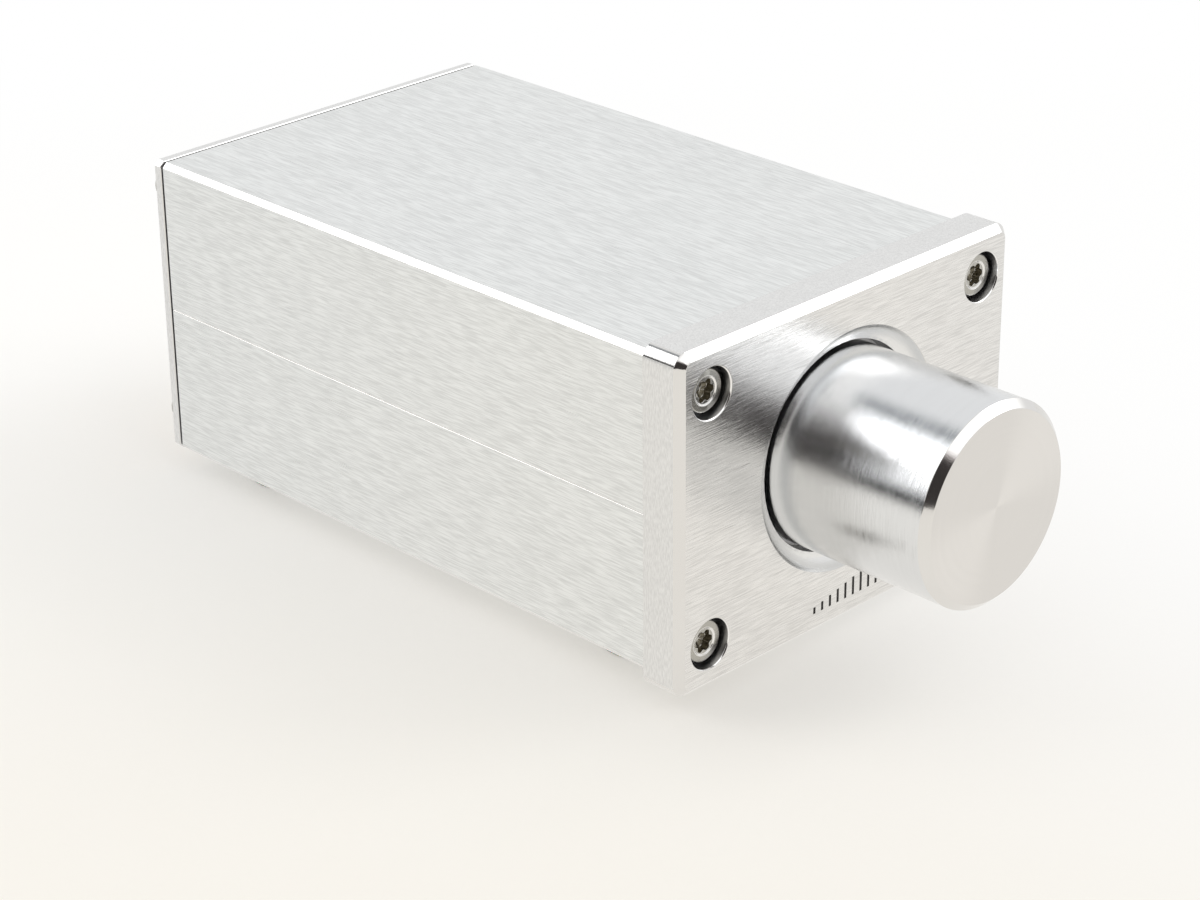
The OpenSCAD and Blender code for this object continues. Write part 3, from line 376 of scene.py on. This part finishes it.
def brushed(name, grain, tone, roughness, contrast):
    """Aluminium brushed along the axis on which grain is small, under a clear anodic film."""
    material, shader, place = new_material(name, tone, 1, roughness)
    strokes = place.scaled(grain)
    fine = strokes.noise(6200, 3)
    broad = strokes.noise(2600, 2)
    scratches = strokes.noise(4600, 1).ramp(0.62, 0.74)
    cloud = place.noise(70, 3)
    lines = fine.ramp(0.32, 0.68) * 0.8 + broad.ramp(0.3, 0.7) * 0.2
    mask = lines * 0.8 + cloud * 0.2
    dark = tuple(c * (1 - contrast) for c in tone)
    feed(shader, Base_Color=(mask - 0.6 * scratches).ramp(0, 1).tint(dark, tone))
    feed(shader, Roughness=roughness - 0.05 + 0.08 * lines + 0.05 * cloud)
    feed(shader, Normal=(fine + 0.5 * broad + 0.4 * scratches).relief(0.000018))
    return material


def turned(name, x, z, tone, roughness, depth=0.000006, painted_sheen=0):
    """Aluminium turned about a lathe axis along Y: fine rings that follow the profile, and as much
    as the last argument asks of a painted highlight, two pale sectors in one fixed direction for the
    sheen that such rings catch on a flat end."""
    material, shader, place = new_material(name, tone, 1, roughness)
    centred = place.node("VectorMath", {"operation": "SUBTRACT"}, {0: place, 1: (x, 0, z)})
    flat = centred.scaled((1, 0, 1))
    radius = flat.node("VectorMath", {"operation": "LENGTH"}, {0: flat}, 1)
    profile = radius + centred.along((0, 1, 0))
    stretched = flat.node("VectorMath", {"operation": "MULTIPLY_ADD"}, {
        0: flat, 1: (0.012, 0.012, 0.012),
        2: profile.node("CombineXYZ", {}, {"Y": profile})})
    fine = stretched.noise(16000, 2)
    broad = stretched.noise(3500, 2)
    cloud = place.noise(90, 3)
    mask = (fine * 0.5 + broad * 0.5).ramp(0.3, 0.7)
    rings_and_painted_sheen = mask * 0.6 + cloud * 0.4
    # Painted highlight: two pale sectors about a fixed direction, the rest made darker, stand in for
    # the light that the rings catch.
    if painted_sheen:
        unit = flat.node("VectorMath", {"operation": "NORMALIZE"}, {0: flat})
        toward_painted_sheen = unit.along((0.82, 0, 0.57))
        rings_and_painted_sheen = rings_and_painted_sheen * (1 - painted_sheen) + painted_sheen * (toward_painted_sheen * toward_painted_sheen).ramp(0.35, 1)
    dark = tuple(c * (0.95 - 0.1 * painted_sheen) for c in tone)
    feed(shader, Base_Color=rings_and_painted_sheen.tint(dark, tone))
    feed(shader, Roughness=roughness - 0.03 + 0.04 * mask + 0.04 * cloud)
    feed(shader, Normal=(fine + 0.15 * broad).relief(depth))
    return material


def cut_bright(name, tone):
    """Freshly cut aluminium on chamfers: smooth, bright, with faint cutter lines."""
    material, shader, place = new_material(name, tone, 1, 0.1)
    chatter = place.noise(5200, 2)
    cloud = place.noise(160, 3)
    feed(shader, Base_Color=cloud.tint(tuple(c * 0.96 for c in tone), tone))
    feed(shader, Roughness=0.07 + 0.05 * chatter + 0.04 * cloud)
    feed(shader, Normal=chatter.relief(0.000004))
    return material


panel_face = brushed("Brushed panel face", (0.045, 1, 1), (0.89, 0.882, 0.868), 0.23, 0.2)
panel_side = brushed("Panel edge", (1, 1, 0.2), (0.87, 0.87, 0.862), 0.33, 0.17)
bright_cut = cut_bright("Bright cut edges", (0.78, 0.77, 0.755))
panel_dish = turned("Turned dish", 0, KNOB_Z, (0.87, 0.87, 0.865), 0.22)
# Painted shade: bores, the knob pocket and the rear panel's step are aluminium made much darker than
# the faces, for the shade inside them.
shaded_bore_metal = turned("Drilled metal, painted shade", 0, 0, (0.58, 0.58, 0.59), 0.30)
# Painted highlight: the counterbore rims are the same cut aluminium as the other chamfers, made far
# brighter for the glint along them.
painted_highlight_rim = cut_bright("Counterbore rims, painted highlight", (0.96, 0.955, 0.945))
mark_fill, shader, place = new_material("Grey mark fill", (0.10, 0.095, 0.09), 0, 0.55)
feed(shader, Base_Color=place.noise(3000, 3).tint((0.07, 0.067, 0.065), (0.16, 0.155, 0.15)))
feed(shader, Normal=place.noise(9000, 2).relief(0.00001))

panel = block("Front_panel", (-PANEL_X, FACE_Y, PANEL_LOW_Z), (PANEL_X, PANEL_BACK_Y, PANEL_HIGH_Z))
chamfer(panel, CORNER_RADIUS, lambda a, b: abs(a.y - b.y) > PANEL_BACK_Y - FACE_Y - OVER, 10)
chamfer(panel, FACE_CHAMFER, lambda a, b: max(a.y, b.y) < FACE_Y + NEAR)
dish = lathe("Dish", (0, FACE_Y, KNOB_Z), [
    (DISH_RADIUS, -OVER), (DISH_RADIUS, 0), (0.01562, 0.00052), (0.0152, 0.00092),
    (0.0147, 0.00122), (0.0142, 0.00141), (POCKET_RADIUS, DISH_DEEP), (POCKET_RADIUS, POCKET_DEEP)])
carve(panel, dish)
carve(panel, rod("Bushing hole", 0, KNOB_Z, BUSHING_HOLE, FACE_Y, PANEL_BACK_Y + OVER))
for side in (-1, 1):
    for row in (-1, 1):
        x, z = side * SCREW_X, MIDDLE_Z + row * SCREW_Z
        carve(panel, lathe("Counterbore", (x, FACE_Y, z), [
            (BORE_RADIUS, BORE_DEEP), (BORE_RADIUS, BORE_RIM),
            (BORE_RADIUS + BORE_RIM, 0), (BORE_RADIUS + BORE_RIM, -OVER)], 96))
        carve(panel, rod("Screw hole", x, z, SCREW_HOLE, FACE_Y, PANEL_BACK_Y + OVER, 48))


def panel_finish(centre, normal):
    """0 face, 1 side, 2 bright cut, 3 dish, 4 bores and pocket in aluminium darkened as painted
    shade, 6 counterbore rims brightened as painted highlight.
    """
    behind_face = centre.y > FACE_Y + NEAR
    if behind_face and math.hypot(centre.x, centre.z - KNOB_Z) < DISH_RADIUS:
        return 3 if centre.y < FACE_Y + DISH_DEEP else 4
    from_screw = math.hypot(abs(centre.x) - SCREW_X, abs(centre.z - MIDDLE_Z) - SCREW_Z)
    if from_screw < BORE_RADIUS + BORE_RIM and -0.9 < normal.y < -0.5:
        return 6
    if from_screw < BORE_RADIUS + BORE_RIM and abs(normal.y) < 0.9:
        return 4
    if normal.y < -0.95 and behind_face:
        return 4
    if abs(normal.y) > 0.95:
        return 0
    return 1 if max(abs(normal.x), abs(normal.z)) > 0.95 else 2


dress(panel, [panel_face, panel_side, bright_cut, panel_dish, shaded_bore_metal, mark_fill, painted_highlight_rim],
      panel_finish)
break_edges(panel, 0.00006, 2)
for i in range(MARKS):
    x, z = (i - (MARKS - 1) / 2) * MARK_STEP, KNOB_Z - MARK_DROP
    carve(panel, block("Level mark", (x - MARK_HALF, FACE_Y - OVER, z),
                       (x + MARK_HALF, FACE_Y + MARK_DEEP, z + MARK_HIGH + i * MARK_GROWTH)))
for face in panel.data.polygons:
    below_knob = KNOB_Z - MARK_DROP - NEAR < face.center.z < KNOB_Z - DISH_RADIUS
    if below_knob and abs(face.center.x) < MARKS / 2 * MARK_STEP:
        if FACE_Y + NEAR < face.center.y < FACE_Y + 2 * MARK_DEEP:
            face.material_index = 5
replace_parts(panel, "front_panel")
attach(panel, "case")


# Top and bottom shells. Two alike U-shaped aluminium extrusions, set face to face, so that a fine
# line runs half way up the sides. They are brushed along their length, their long edges are cut
# bright, and round ports in the corners take the screws.
BODY_X, SHELL_HIGH, WALL, BODY_BACK_Y = 0.0289, 0.0212, 0.002, 0.0528
LONG_CHAMFER, SEAM_CHAMFER = 0.0007, 0.00008
PORT, THREAD_HOLE = 0.0032, 0.00155
TONGUE_WIDE, TONGUE_PROUD, GROOVE_WIDE, GROOVE_DEEP = 0.0009, 0.0012, 0.001, 0.0013
shell_face = brushed("Brushed shell", (1, 0.05, 1), (0.905, 0.92, 0.912), 0.30, 0.21)
shell_inside = brushed("Extruded inside", (1, 0.08, 1), (0.74, 0.74, 0.73), 0.42, 0.08)


def shell(name, turn):
    """One shell, drawn as the lower one for turn = 1 and turned over for turn = -1."""
    def span(x1, x2, z1, z2, y1=PANEL_BACK_Y, y2=BODY_BACK_Y):
        xs = sorted((turn * x1, turn * x2))
        zs = sorted((MIDDLE_Z + turn * z1, MIDDLE_Z + turn * z2))
        return (xs[0], y1, zs[0]), (xs[1], y2, zs[1])

    low, high = span(-BODY_X, BODY_X, -SHELL_HIGH, 0)
    piece = block(name, low, high)
    outer_z = MIDDLE_Z - turn * SHELL_HIGH
    nearly_whole = BODY_BACK_Y - PANEL_BACK_Y - OVER
    for width, edge_z in ((LONG_CHAMFER, outer_z), (SEAM_CHAMFER, MIDDLE_Z)):
        chamfer(piece, width, lambda a, b: (
            abs(a.y - b.y) > nearly_whole and abs(a.z - edge_z) < NEAR))
    inner = BODY_X - WALL
    open_ends = (PANEL_BACK_Y - OVER, BODY_BACK_Y + OVER)
    carve(piece, block("Inside", *span(-inner, inner, WALL - SHELL_HIGH, OVER, *open_ends)))
    for side in (-1, 1):
        port_x, port_z = turn * side * SCREW_X, MIDDLE_Z - turn * SCREW_Z
        carve(piece, rod("Port", port_x, port_z, PORT, PANEL_BACK_Y, BODY_BACK_Y, 64), "UNION")
        carve(piece, block("Port wall", *span(
            side * SCREW_X, side * (BODY_X - WALL / 2), -SCREW_Z - PORT, -SCREW_Z + PORT)), "UNION")
        carve(piece, block("Port floor", *span(
            side * SCREW_X - PORT, side * SCREW_X + PORT, WALL / 2 - SHELL_HIGH, -SCREW_Z)), "UNION")
        carve(piece, rod("Thread", port_x, port_z, THREAD_HOLE, *open_ends, 32))
    carve(piece, block("Tongue", *span(-inner - TONGUE_WIDE, -inner, -WALL, TONGUE_PROUD)), "UNION")
    carve(piece, block("Groove", *span(
        inner - OVER, inner + GROOVE_WIDE, -GROOVE_DEEP, OVER, *open_ends)))

    def finish(centre, normal):
        if abs(centre.x) > BODY_X - NEAR or abs(centre.z - outer_z) < NEAR:
            return 0
        on_corner = abs(normal.x) > 0.5 and abs(normal.z) > 0.5
        return 1 if on_corner and abs(centre.x) > BODY_X - LONG_CHAMFER else 2

    dress(piece, [shell_face, bright_cut, shell_inside], finish)
    break_edges(piece, 0.00005, 1)
    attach(piece, "case")
    return piece


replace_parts(shell("Bottom_shell", 1), "bottom_shell")
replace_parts(shell("Top_shell", -1), "top_shell")


# Rear panel. A 2.2 mm aluminium plate as large as the body, brushed across and anodised. It has a
# narrow chamfer round its back, a step that leaves a dark line next to the shells, its walls
# darkened further with painted shade, and holes for four jacks and four screws.
JACK_X, JACK_Z, JACK_HOLE = 0.011, 0.0096, 0.00495
STEP_WIDE, STEP_DEEP = 0.0005, 0.0012
BACK_CHAMFER, STEP_CHAMFER = 0.0005, 0.00012
rear_face = brushed("Brushed rear face", (0.045, 1, 1), (0.85, 0.855, 0.85), 0.28, 0.06)
rear = block("Rear_panel", (-BODY_X, BODY_BACK_Y + STEP_WIDE, MIDDLE_Z - SHELL_HIGH),
             (BODY_X, REAR_Y, MIDDLE_Z + SHELL_HIGH))
chamfer(rear, LONG_CHAMFER, lambda a, b: abs(a.y - b.y) > OVER)
chamfer(rear, BACK_CHAMFER, lambda a, b: min(a.y, b.y) > REAR_Y - NEAR)
chamfer(rear, STEP_CHAMFER, lambda a, b: max(a.y, b.y) < BODY_BACK_Y + STEP_WIDE + NEAR)
carve(rear, block(
    "Step", (STEP_DEEP - BODY_X, BODY_BACK_Y, MIDDLE_Z - SHELL_HIGH + STEP_DEEP),
    (BODY_X - STEP_DEEP, BODY_BACK_Y + OVER, MIDDLE_Z + SHELL_HIGH - STEP_DEEP)), "UNION")
for side in (-1, 1):
    for row in (-1, 1):
        ends = (BODY_BACK_Y - OVER, REAR_Y + OVER)
        carve(rear, rod(
            "Screw hole", side * SCREW_X, MIDDLE_Z + row * SCREW_Z, SCREW_HOLE, *ends, 48))
        carve(rear, rod("Jack hole", side * JACK_X, MIDDLE_Z + row * JACK_Z, JACK_HOLE, *ends))


def rear_finish(centre, normal):
    """0 back face, 1 edges, 2 chamfers, 3 holes, the step and the face against the shells, in
    aluminium darkened as painted shade.
    """
    at_edge = max(abs(centre.x) - BODY_X, abs(centre.z - MIDDLE_Z) - SHELL_HIGH) > -LONG_CHAMFER
    if abs(normal.y) > 0.95:
        return 0 if centre.y > REAR_Y - NEAR else 3
    if not at_edge:
        return 3
    return 1 if max(abs(normal.x), abs(normal.z)) > 0.95 else 2


dress(rear, [rear_face, panel_side, bright_cut, shaded_bore_metal], rear_finish)
break_edges(rear, 0.00003, 2)
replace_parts(rear, "rear_panel")
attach(rear, "case")


# Volume knob. Turned from solid aluminium bar, with a chamfer round its front, a fine spun finish
# and a clear anodic film, its flat face painted with a highlight in two pale sectors. It is hollow
# behind for the nut and bored for the shaft, and a set screw in its side holds it.
KNOB_FRONT_Y, KNOB_BACK_Y, KNOB_FLOOR_Y, SHAFT_END_Y = -0.0672, -0.0408, -0.0458, -0.05925
KNOB_RADIUS, KNOB_CHAMFER, KNOB_BACK_CHAMFER = 0.0132, 0.001, 0.0005
HOLLOW_RADIUS, SHAFT_RADIUS = 0.0085, 0.00305
SET_SCREW_Y, SET_SCREW_RADIUS, SET_SCREW_DROP, SET_SCREW_LONG = -0.0522, 0.00205, 0.00825, 0.0125
knob_barrel = turned("Turned knob", 0, KNOB_Z, (0.79, 0.80, 0.81), 0.14, 0.000013)
# The knob's face has a painted highlight: two pale sectors in one fixed direction.
knob_face_with_painted_sheen = turned("Spun knob face, painted sheen", 0, KNOB_Z, (0.81, 0.795, 0.78), 0.22, 0.000016, 0.6)
knob = lathe("Volume_knob", (0, 0, KNOB_Z), [
    (0.0001, KNOB_FRONT_Y + 0.00003), (0.0008, KNOB_FRONT_Y),
    (KNOB_RADIUS - KNOB_CHAMFER, KNOB_FRONT_Y), (KNOB_RADIUS, KNOB_FRONT_Y + KNOB_CHAMFER),
    (KNOB_RADIUS, KNOB_BACK_Y - KNOB_BACK_CHAMFER), (KNOB_RADIUS - KNOB_BACK_CHAMFER, KNOB_BACK_Y),
    (HOLLOW_RADIUS, KNOB_BACK_Y), (HOLLOW_RADIUS, KNOB_FLOOR_Y),
    (SHAFT_RADIUS, KNOB_FLOOR_Y), (SHAFT_RADIUS, SHAFT_END_Y)], 192)
bpy.ops.object.select_all(action="DESELECT")
bpy.ops.mesh.primitive_cylinder_add(
    vertices=48, radius=SET_SCREW_RADIUS, depth=SET_SCREW_LONG,
    location=(0, SET_SCREW_Y, KNOB_Z - SET_SCREW_DROP))
carve(knob, alone("Set screw hole"))
dress(knob, [knob_barrel, knob_face_with_painted_sheen, bright_cut], lambda centre, normal: (
    1 if normal.y < -0.95 and centre.y < KNOB_FRONT_Y + 0.0001
    else 2 if -0.9 < normal.y < -0.5 and centre.y < KNOB_FRONT_Y + KNOB_CHAMFER else 0))
break_edges(knob, 0.00006, 2)
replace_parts(knob, "volume_knob")
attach(knob, "knob")


# Case screws. Plain stainless cap screws with six-lobe sockets: the front four lie in their
# counterbores, and the rear four stand on the rear panel with lower heads.
def metal(name, tone, dark, roughness):
    """A plain metal with handling marks and a fine grit."""
    material, shader, place = new_material(name, tone, 1, roughness)
    smear = place.noise(700, 3)
    grit = place.noise(6000, 3)
    feed(shader, Base_Color=(0.5 * smear + 0.5 * grit).tint(dark, tone))
    feed(shader, Roughness=roughness - 0.08 + 0.14 * smear + 0.06 * grit)
    feed(shader, Normal=grit.relief(0.000006))
    return material


steel = metal("Stainless steel", (0.62, 0.61, 0.57), (0.34, 0.33, 0.30), 0.24)
worn_steel, shader, place = new_material("Worn steel edge", (0.86, 0.85, 0.83), 1, 0.16)
feed(shader, Roughness=0.10 + 0.14 * place.noise(4000, 3))
# Painted shade: the six-lobe sockets are steel made dark and brown, mottled, for the shade inside
# them.
shaded_socket_steel, shader, place = new_material("Socket steel, painted shade", (0.3, 0.27, 0.21), 1, 0.34)
socket_mottle = place.noise(1800, 3)
feed(shader, Base_Color=socket_mottle.tint((0.17, 0.145, 0.10), (0.40, 0.375, 0.30)))
feed(shader, Roughness=0.25 + 0.25 * socket_mottle)


HEAD_RADIUS, STEM_RADIUS, TIP = 0.00275, 0.0015, 0.0005
HEAD_SINK, HEAD_PROUD = 0.001, 0.002
SOCKET_RIM, SOCKET_RIM_DEEP = 0.00164, 0.00012


def case_screw(name, x, z, top, out, head, length):
    """A screw with the top of its head at top, standing out along Y by the sign of out."""
    rim = [(HEAD_RADIUS - 0.00022 * (1 - math.sin(math.radians(a))),
            0.00003 + 0.00022 * (1 - math.cos(math.radians(a)))) for a in (0, 22.5, 45, 67.5, 90)]
    steps = [(SOCKET_RIM, SOCKET_RIM_DEEP), (0.0018, 0.00002), (0.00183, 0), (0.00187, 0.00002),
             *rim, (HEAD_RADIUS, head), (STEM_RADIUS, head),
             (STEM_RADIUS, head + length - TIP), (STEM_RADIUS - TIP, head + length)]
    piece = lathe(name, (x, 0, z), [(r, top - out * d) for r, d in steps], 72, caps="last")
    pick(piece, "EDGE", lambda a, b: all(
        abs(p.y - top) < 0.0002 and math.hypot(p.x - x, p.z - z) < SOCKET_RIM + NEAR
        for p in (a, b)))
    for depth, closing in ((SOCKET_RIM_DEEP, 0), (0.0013, 0), (0.0016, 0.4)):
        bpy.ops.mesh.extrude_edges_move()
        bpy.ops.object.mode_set(mode="OBJECT")
        for v in piece.data.vertices:
            if v.select:
                turn = math.atan2(v.co.z - z, v.co.x - x)
                lobe = (1 - math.cos(6 * turn)) / 2
                radius = (STEM_RADIUS - 0.00036 * lobe * lobe) * (1 - closing)
                v.co = (x + radius * math.cos(turn), top - out * depth,
                        z + radius * math.sin(turn))
        bpy.ops.object.mode_set(mode="EDIT")
    bpy.ops.mesh.edge_face_add()
    bpy.ops.mesh.select_all(action="SELECT")
    bpy.ops.mesh.normals_make_consistent(inside=False)
    bpy.ops.object.mode_set(mode="OBJECT")

    def finish(centre, normal):
        radius, depth = math.hypot(centre.x - x, centre.z - z), (top - centre.y) * out
        if radius < 0.00152 and 0.0002 < depth < 0.0017:
            return 2
        return 1 if 0.0016 < radius < 0.00186 and depth < 0.0002 else 0

    dress(piece, [steel, worn_steel, shaded_socket_steel], finish)
    break_edges(piece, 0.00003, 1)
    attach(piece, "case")
    return piece


for side in (-1, 1):
    for row in (-1, 1):
        x, z = side * SCREW_X, MIDDLE_Z + row * SCREW_Z
        tail = ("left" if side < 0 else "right") + ("_low" if row < 0 else "_high")
        front = case_screw("Front_screw_" + tail, x, z, FACE_Y + HEAD_SINK, -1, 0.003, 0.012)
        back = case_screw("Rear_screw_" + tail, x, z, REAR_Y + HEAD_PROUD, 1, HEAD_PROUD, 0.008)
        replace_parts(front, "front_screws")
        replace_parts(back, "rear_screws")


# Feet. Four stick-on feet of clear, slightly cloudy silicone under the bottom shell.
silicone, shader, place = new_material("Cloudy silicone", (0.78, 0.77, 0.74), 0, 0.38)
haze = place.noise(400, 4)
feed(shader, Base_Color=haze.tint((0.70, 0.69, 0.66), (0.84, 0.83, 0.80)))
feed(shader, Roughness=0.3 + 0.18 * haze)
feed(shader, Normal=place.noise(5000, 2).relief(0.00001))
shader.inputs["Subsurface Weight"].default_value = 0.5
shader.inputs["Subsurface Scale"].default_value = 0.002
FOOT_X, FOOT_FRONT_Y, FOOT_REAR_Y = 0.0189, -0.0272, 0.0418
FOOT_LOW_RADIUS, FOOT_TOP_RADIUS, FOOT_HIGH, FOOT_RIM = 0.0055, 0.006, 0.0035, 0.0006
for name, x, y in (("front_left", -FOOT_X, FOOT_FRONT_Y), ("front_right", FOOT_X, FOOT_FRONT_Y),
                   ("rear_left", -FOOT_X, FOOT_REAR_Y), ("rear_right", FOOT_X, FOOT_REAR_Y)):
    round_rim = [(FOOT_LOW_RADIUS - FOOT_RIM * (1 - math.sin(math.radians(a))),
                  FOOT_RIM * (1 - math.cos(math.radians(a)))) for a in (0, 18, 36, 54, 72, 90)]
    foot = lathe("Foot_" + name, (x, y, 0), [
        (FOOT_RIM, 0), *round_rim, (FOOT_TOP_RADIUS, FOOT_HIGH)], 96, "Z")
    dress(foot, [silicone])
    break_edges(foot, 0.00008)
    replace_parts(foot, "foot_" + name)
    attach(foot, "case")


# Phono jacks. Four on the rear panel, each a gold-plated turned shell over a moulded ring, white
# on the left channel and red on the right, with a white insulator and a gold contact. Bushes
# insulate them from the panel, and nuts behind it clamp them.
gold, shader, place = new_material("Gold plate", (0.86, 0.64, 0.28), 1, 0.2)
wear = place.noise(500, 4)
turning = place.scaled((0.15, 1, 0.15)).noise(14000, 2)
feed(shader, Base_Color=(wear * 0.7 + turning * 0.3).tint((0.78, 0.55, 0.22), (0.90, 0.69, 0.33)))
feed(shader, Roughness=0.12 + 0.1 * wear + 0.08 * turning)
feed(shader, Normal=turning.relief(0.000005))


def moulded(name, tone, dark, roughness):
    """A moulded plastic with a fine texture and a slight haze."""
    material, shader, place = new_material(name, tone, 0, roughness)
    haze = place.noise(260, 4)
    grain = place.noise(7000, 3)
    feed(shader, Base_Color=(haze * 0.6 + grain * 0.4).tint(dark, tone))
    feed(shader, Roughness=roughness - 0.08 + 0.12 * haze + 0.08 * grain)
    feed(shader, Normal=grain.relief(0.000012))
    return material


white_plastic = moulded("White plastic", (0.88, 0.88, 0.86), (0.80, 0.80, 0.77), 0.38)
red_plastic = moulded("Red plastic", (0.66, 0.035, 0.035), (0.50, 0.02, 0.02), 0.36)
STEM_Y, RING_Y, BARREL_Y, JACK_END_Y = 0.0474, 0.0566, 0.0580, 0.0672
TAIL_Y, CONTACT_FLOOR_Y, CONTACT_END_Y = 0.0419, 0.0572, 0.0662


def corner(radius, reach, size, start, end, steps=5):
    """The steps of a profile round a corner, between two angles in degrees."""
    angles = [math.radians(start + (end - start) * i / steps) for i in range(steps + 1)]
    return [(radius + size * math.cos(a), reach + size * math.sin(a)) for a in angles]


thread = [(0.0040 - 0.0002 * (i % 2), STEM_Y + 0.0003 + i * 0.00015) for i in range(7)]
shell_profile = [
    (0.0031, STEM_Y), (0.0037, STEM_Y), *thread, (0.0040, RING_Y),
    *corner(0.00545, RING_Y + 0.0003, 0.0003, -90, 0),
    *corner(0.00545, BARREL_Y - 0.0003, 0.0003, 0, 90),
    *corner(0.0045, BARREL_Y + 0.00035, 0.00035, -90, -180),
    *corner(0.0037, JACK_END_Y - 0.00045, 0.00045, 0, 90),
    (0.0033, JACK_END_Y), (0.0031, JACK_END_Y - 0.0002)]
ring_profile = [
    (0.00405, REAR_Y - 0.0009), (0.0049, REAR_Y - 0.0009), (0.0049, REAR_Y),
    *corner(0.0061, REAR_Y + 0.0002, 0.0002, -90, 0),
    *corner(0.0058, RING_Y - 0.0005, 0.0005, 0, 90), (0.00405, RING_Y)]
insulator_profile = [
    (0.0022, STEM_Y - 0.001), (0.00355, STEM_Y - 0.001), (0.00355, STEM_Y), (0.00305, STEM_Y),
    *corner(0.0029, JACK_END_Y - 0.00065, 0.00015, 0, 90), (0.0025, JACK_END_Y - 0.0005),
    (0.0024, JACK_END_Y - 0.0006), (0.00195, JACK_END_Y - 0.0006),
    (0.00165, CONTACT_END_Y + 0.0001), (0.00165, CONTACT_END_Y), (0.0022, CONTACT_END_Y)]
contact_profile = [
    (0.0001, TAIL_Y + 0.0018), (0.0006, TAIL_Y + 0.0018), (0.0006, TAIL_Y), (0.0011, TAIL_Y),
    (0.0011, STEM_Y - 0.001), (0.00215, STEM_Y - 0.001), (0.00215, CONTACT_END_Y),
    (0.0018, CONTACT_END_Y), (0.0016, CONTACT_END_Y - 0.0003), (0.0016, CONTACT_FLOOR_Y)]
for side, source in ((1, "input"), (-1, "output")):
    for row, channel, ring_finish in ((1, "left", white_plastic), (-1, "right", red_plastic)):
        centre = (side * JACK_X, 0, MIDDLE_Z + row * JACK_Z)
        for part, profile, caps, finish, slot in (
                ("shell", shell_profile, "none", gold, "gold_plate"),
                ("ring", ring_profile, "none", ring_finish,
                 "ring_white" if channel == "left" else "ring_red"),
                ("insulator", insulator_profile, "none", white_plastic, "insulator_white"),
                ("contact", contact_profile, "both", gold, "gold_plate")):
            tail = "_" + source + "_" + channel
            piece = lathe("Jack_" + part + tail, centre, profile, 96, caps=caps)
            dress(piece, [finish])
            break_edges(piece, 0.00003)
            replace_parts(piece, "jack_" + part + tail)
            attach(piece, "case")


# Inside. The potentiometer behind the panel, the bushes, nuts and tags of the jacks, and the
# wires between them keep their solids and get their own plated, moulded and laminated finishes.
def coat(finish, *starts):
    """Gives the solids whose names start in one of these ways their finish."""
    for name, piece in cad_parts.items():
        if name.startswith(starts):
            for material_slot in piece.material_slots:
                material_slot.material = finish


coat(metal("Blackened steel", (0.11, 0.105, 0.10), (0.06, 0.058, 0.055), 0.36), "knob_set_screw")
coat(metal("Nickel-plated brass", (0.74, 0.73, 0.70), (0.62, 0.61, 0.57), 0.24),
     "pot_shaft", "pot_bushing")
coat(metal("Zinc-plated steel", (0.68, 0.68, 0.66), (0.52, 0.52, 0.50), 0.34),
     "pot_washer", "pot_nut", "pot_front_plate", "pot_rear_plate", "pot_rivets")
coat(moulded("Blue moulding", (0.055, 0.11, 0.26), (0.035, 0.075, 0.19), 0.42), "pot_housing")
coat(moulded("Ivory moulding", (0.82, 0.79, 0.69), (0.72, 0.69, 0.58), 0.4), "pot_rotor")
coat(metal("Spring bronze", (0.74, 0.53, 0.28), (0.58, 0.40, 0.20), 0.28), "pot_wiper")
coat(metal("Tinned brass", (0.72, 0.71, 0.67), (0.58, 0.57, 0.52), 0.32),
     "pot_lugs", "jack_solder_tags")
laminate, shader, place = new_material("Phenolic board", (0.40, 0.22, 0.09), 0, 0.5)
fibres = place.scaled((1, 1, 0.15)).noise(3000, 4)
resin = place.noise(300, 3)
feed(shader, Base_Color=(fibres * 0.6 + resin * 0.4).tint((0.30, 0.15, 0.055), (0.47, 0.28, 0.13)))
feed(shader, Roughness=0.4 + 0.2 * fibres)
feed(shader, Normal=fibres.relief(0.00001))
coat(laminate, "pot_board")
coat(moulded("Black plastic", (0.06, 0.06, 0.058), (0.035, 0.035, 0.034), 0.4), "jack_bush")
coat(gold, "jack_nuts")
coat(moulded("White wire", (0.80, 0.80, 0.77), (0.70, 0.70, 0.66), 0.45),
     "wire_input_left", "wire_output_left")
coat(moulded("Red wire", (0.55, 0.03, 0.03), (0.42, 0.02, 0.02), 0.45),
     "wire_input_right", "wire_output_right")
coat(moulded("Black wire", (0.05, 0.05, 0.05), (0.03, 0.03, 0.03), 0.45), "wire_ground")
coat(metal("Bare copper", (0.82, 0.47, 0.31), (0.62, 0.32, 0.20), 0.3), "ground_link")
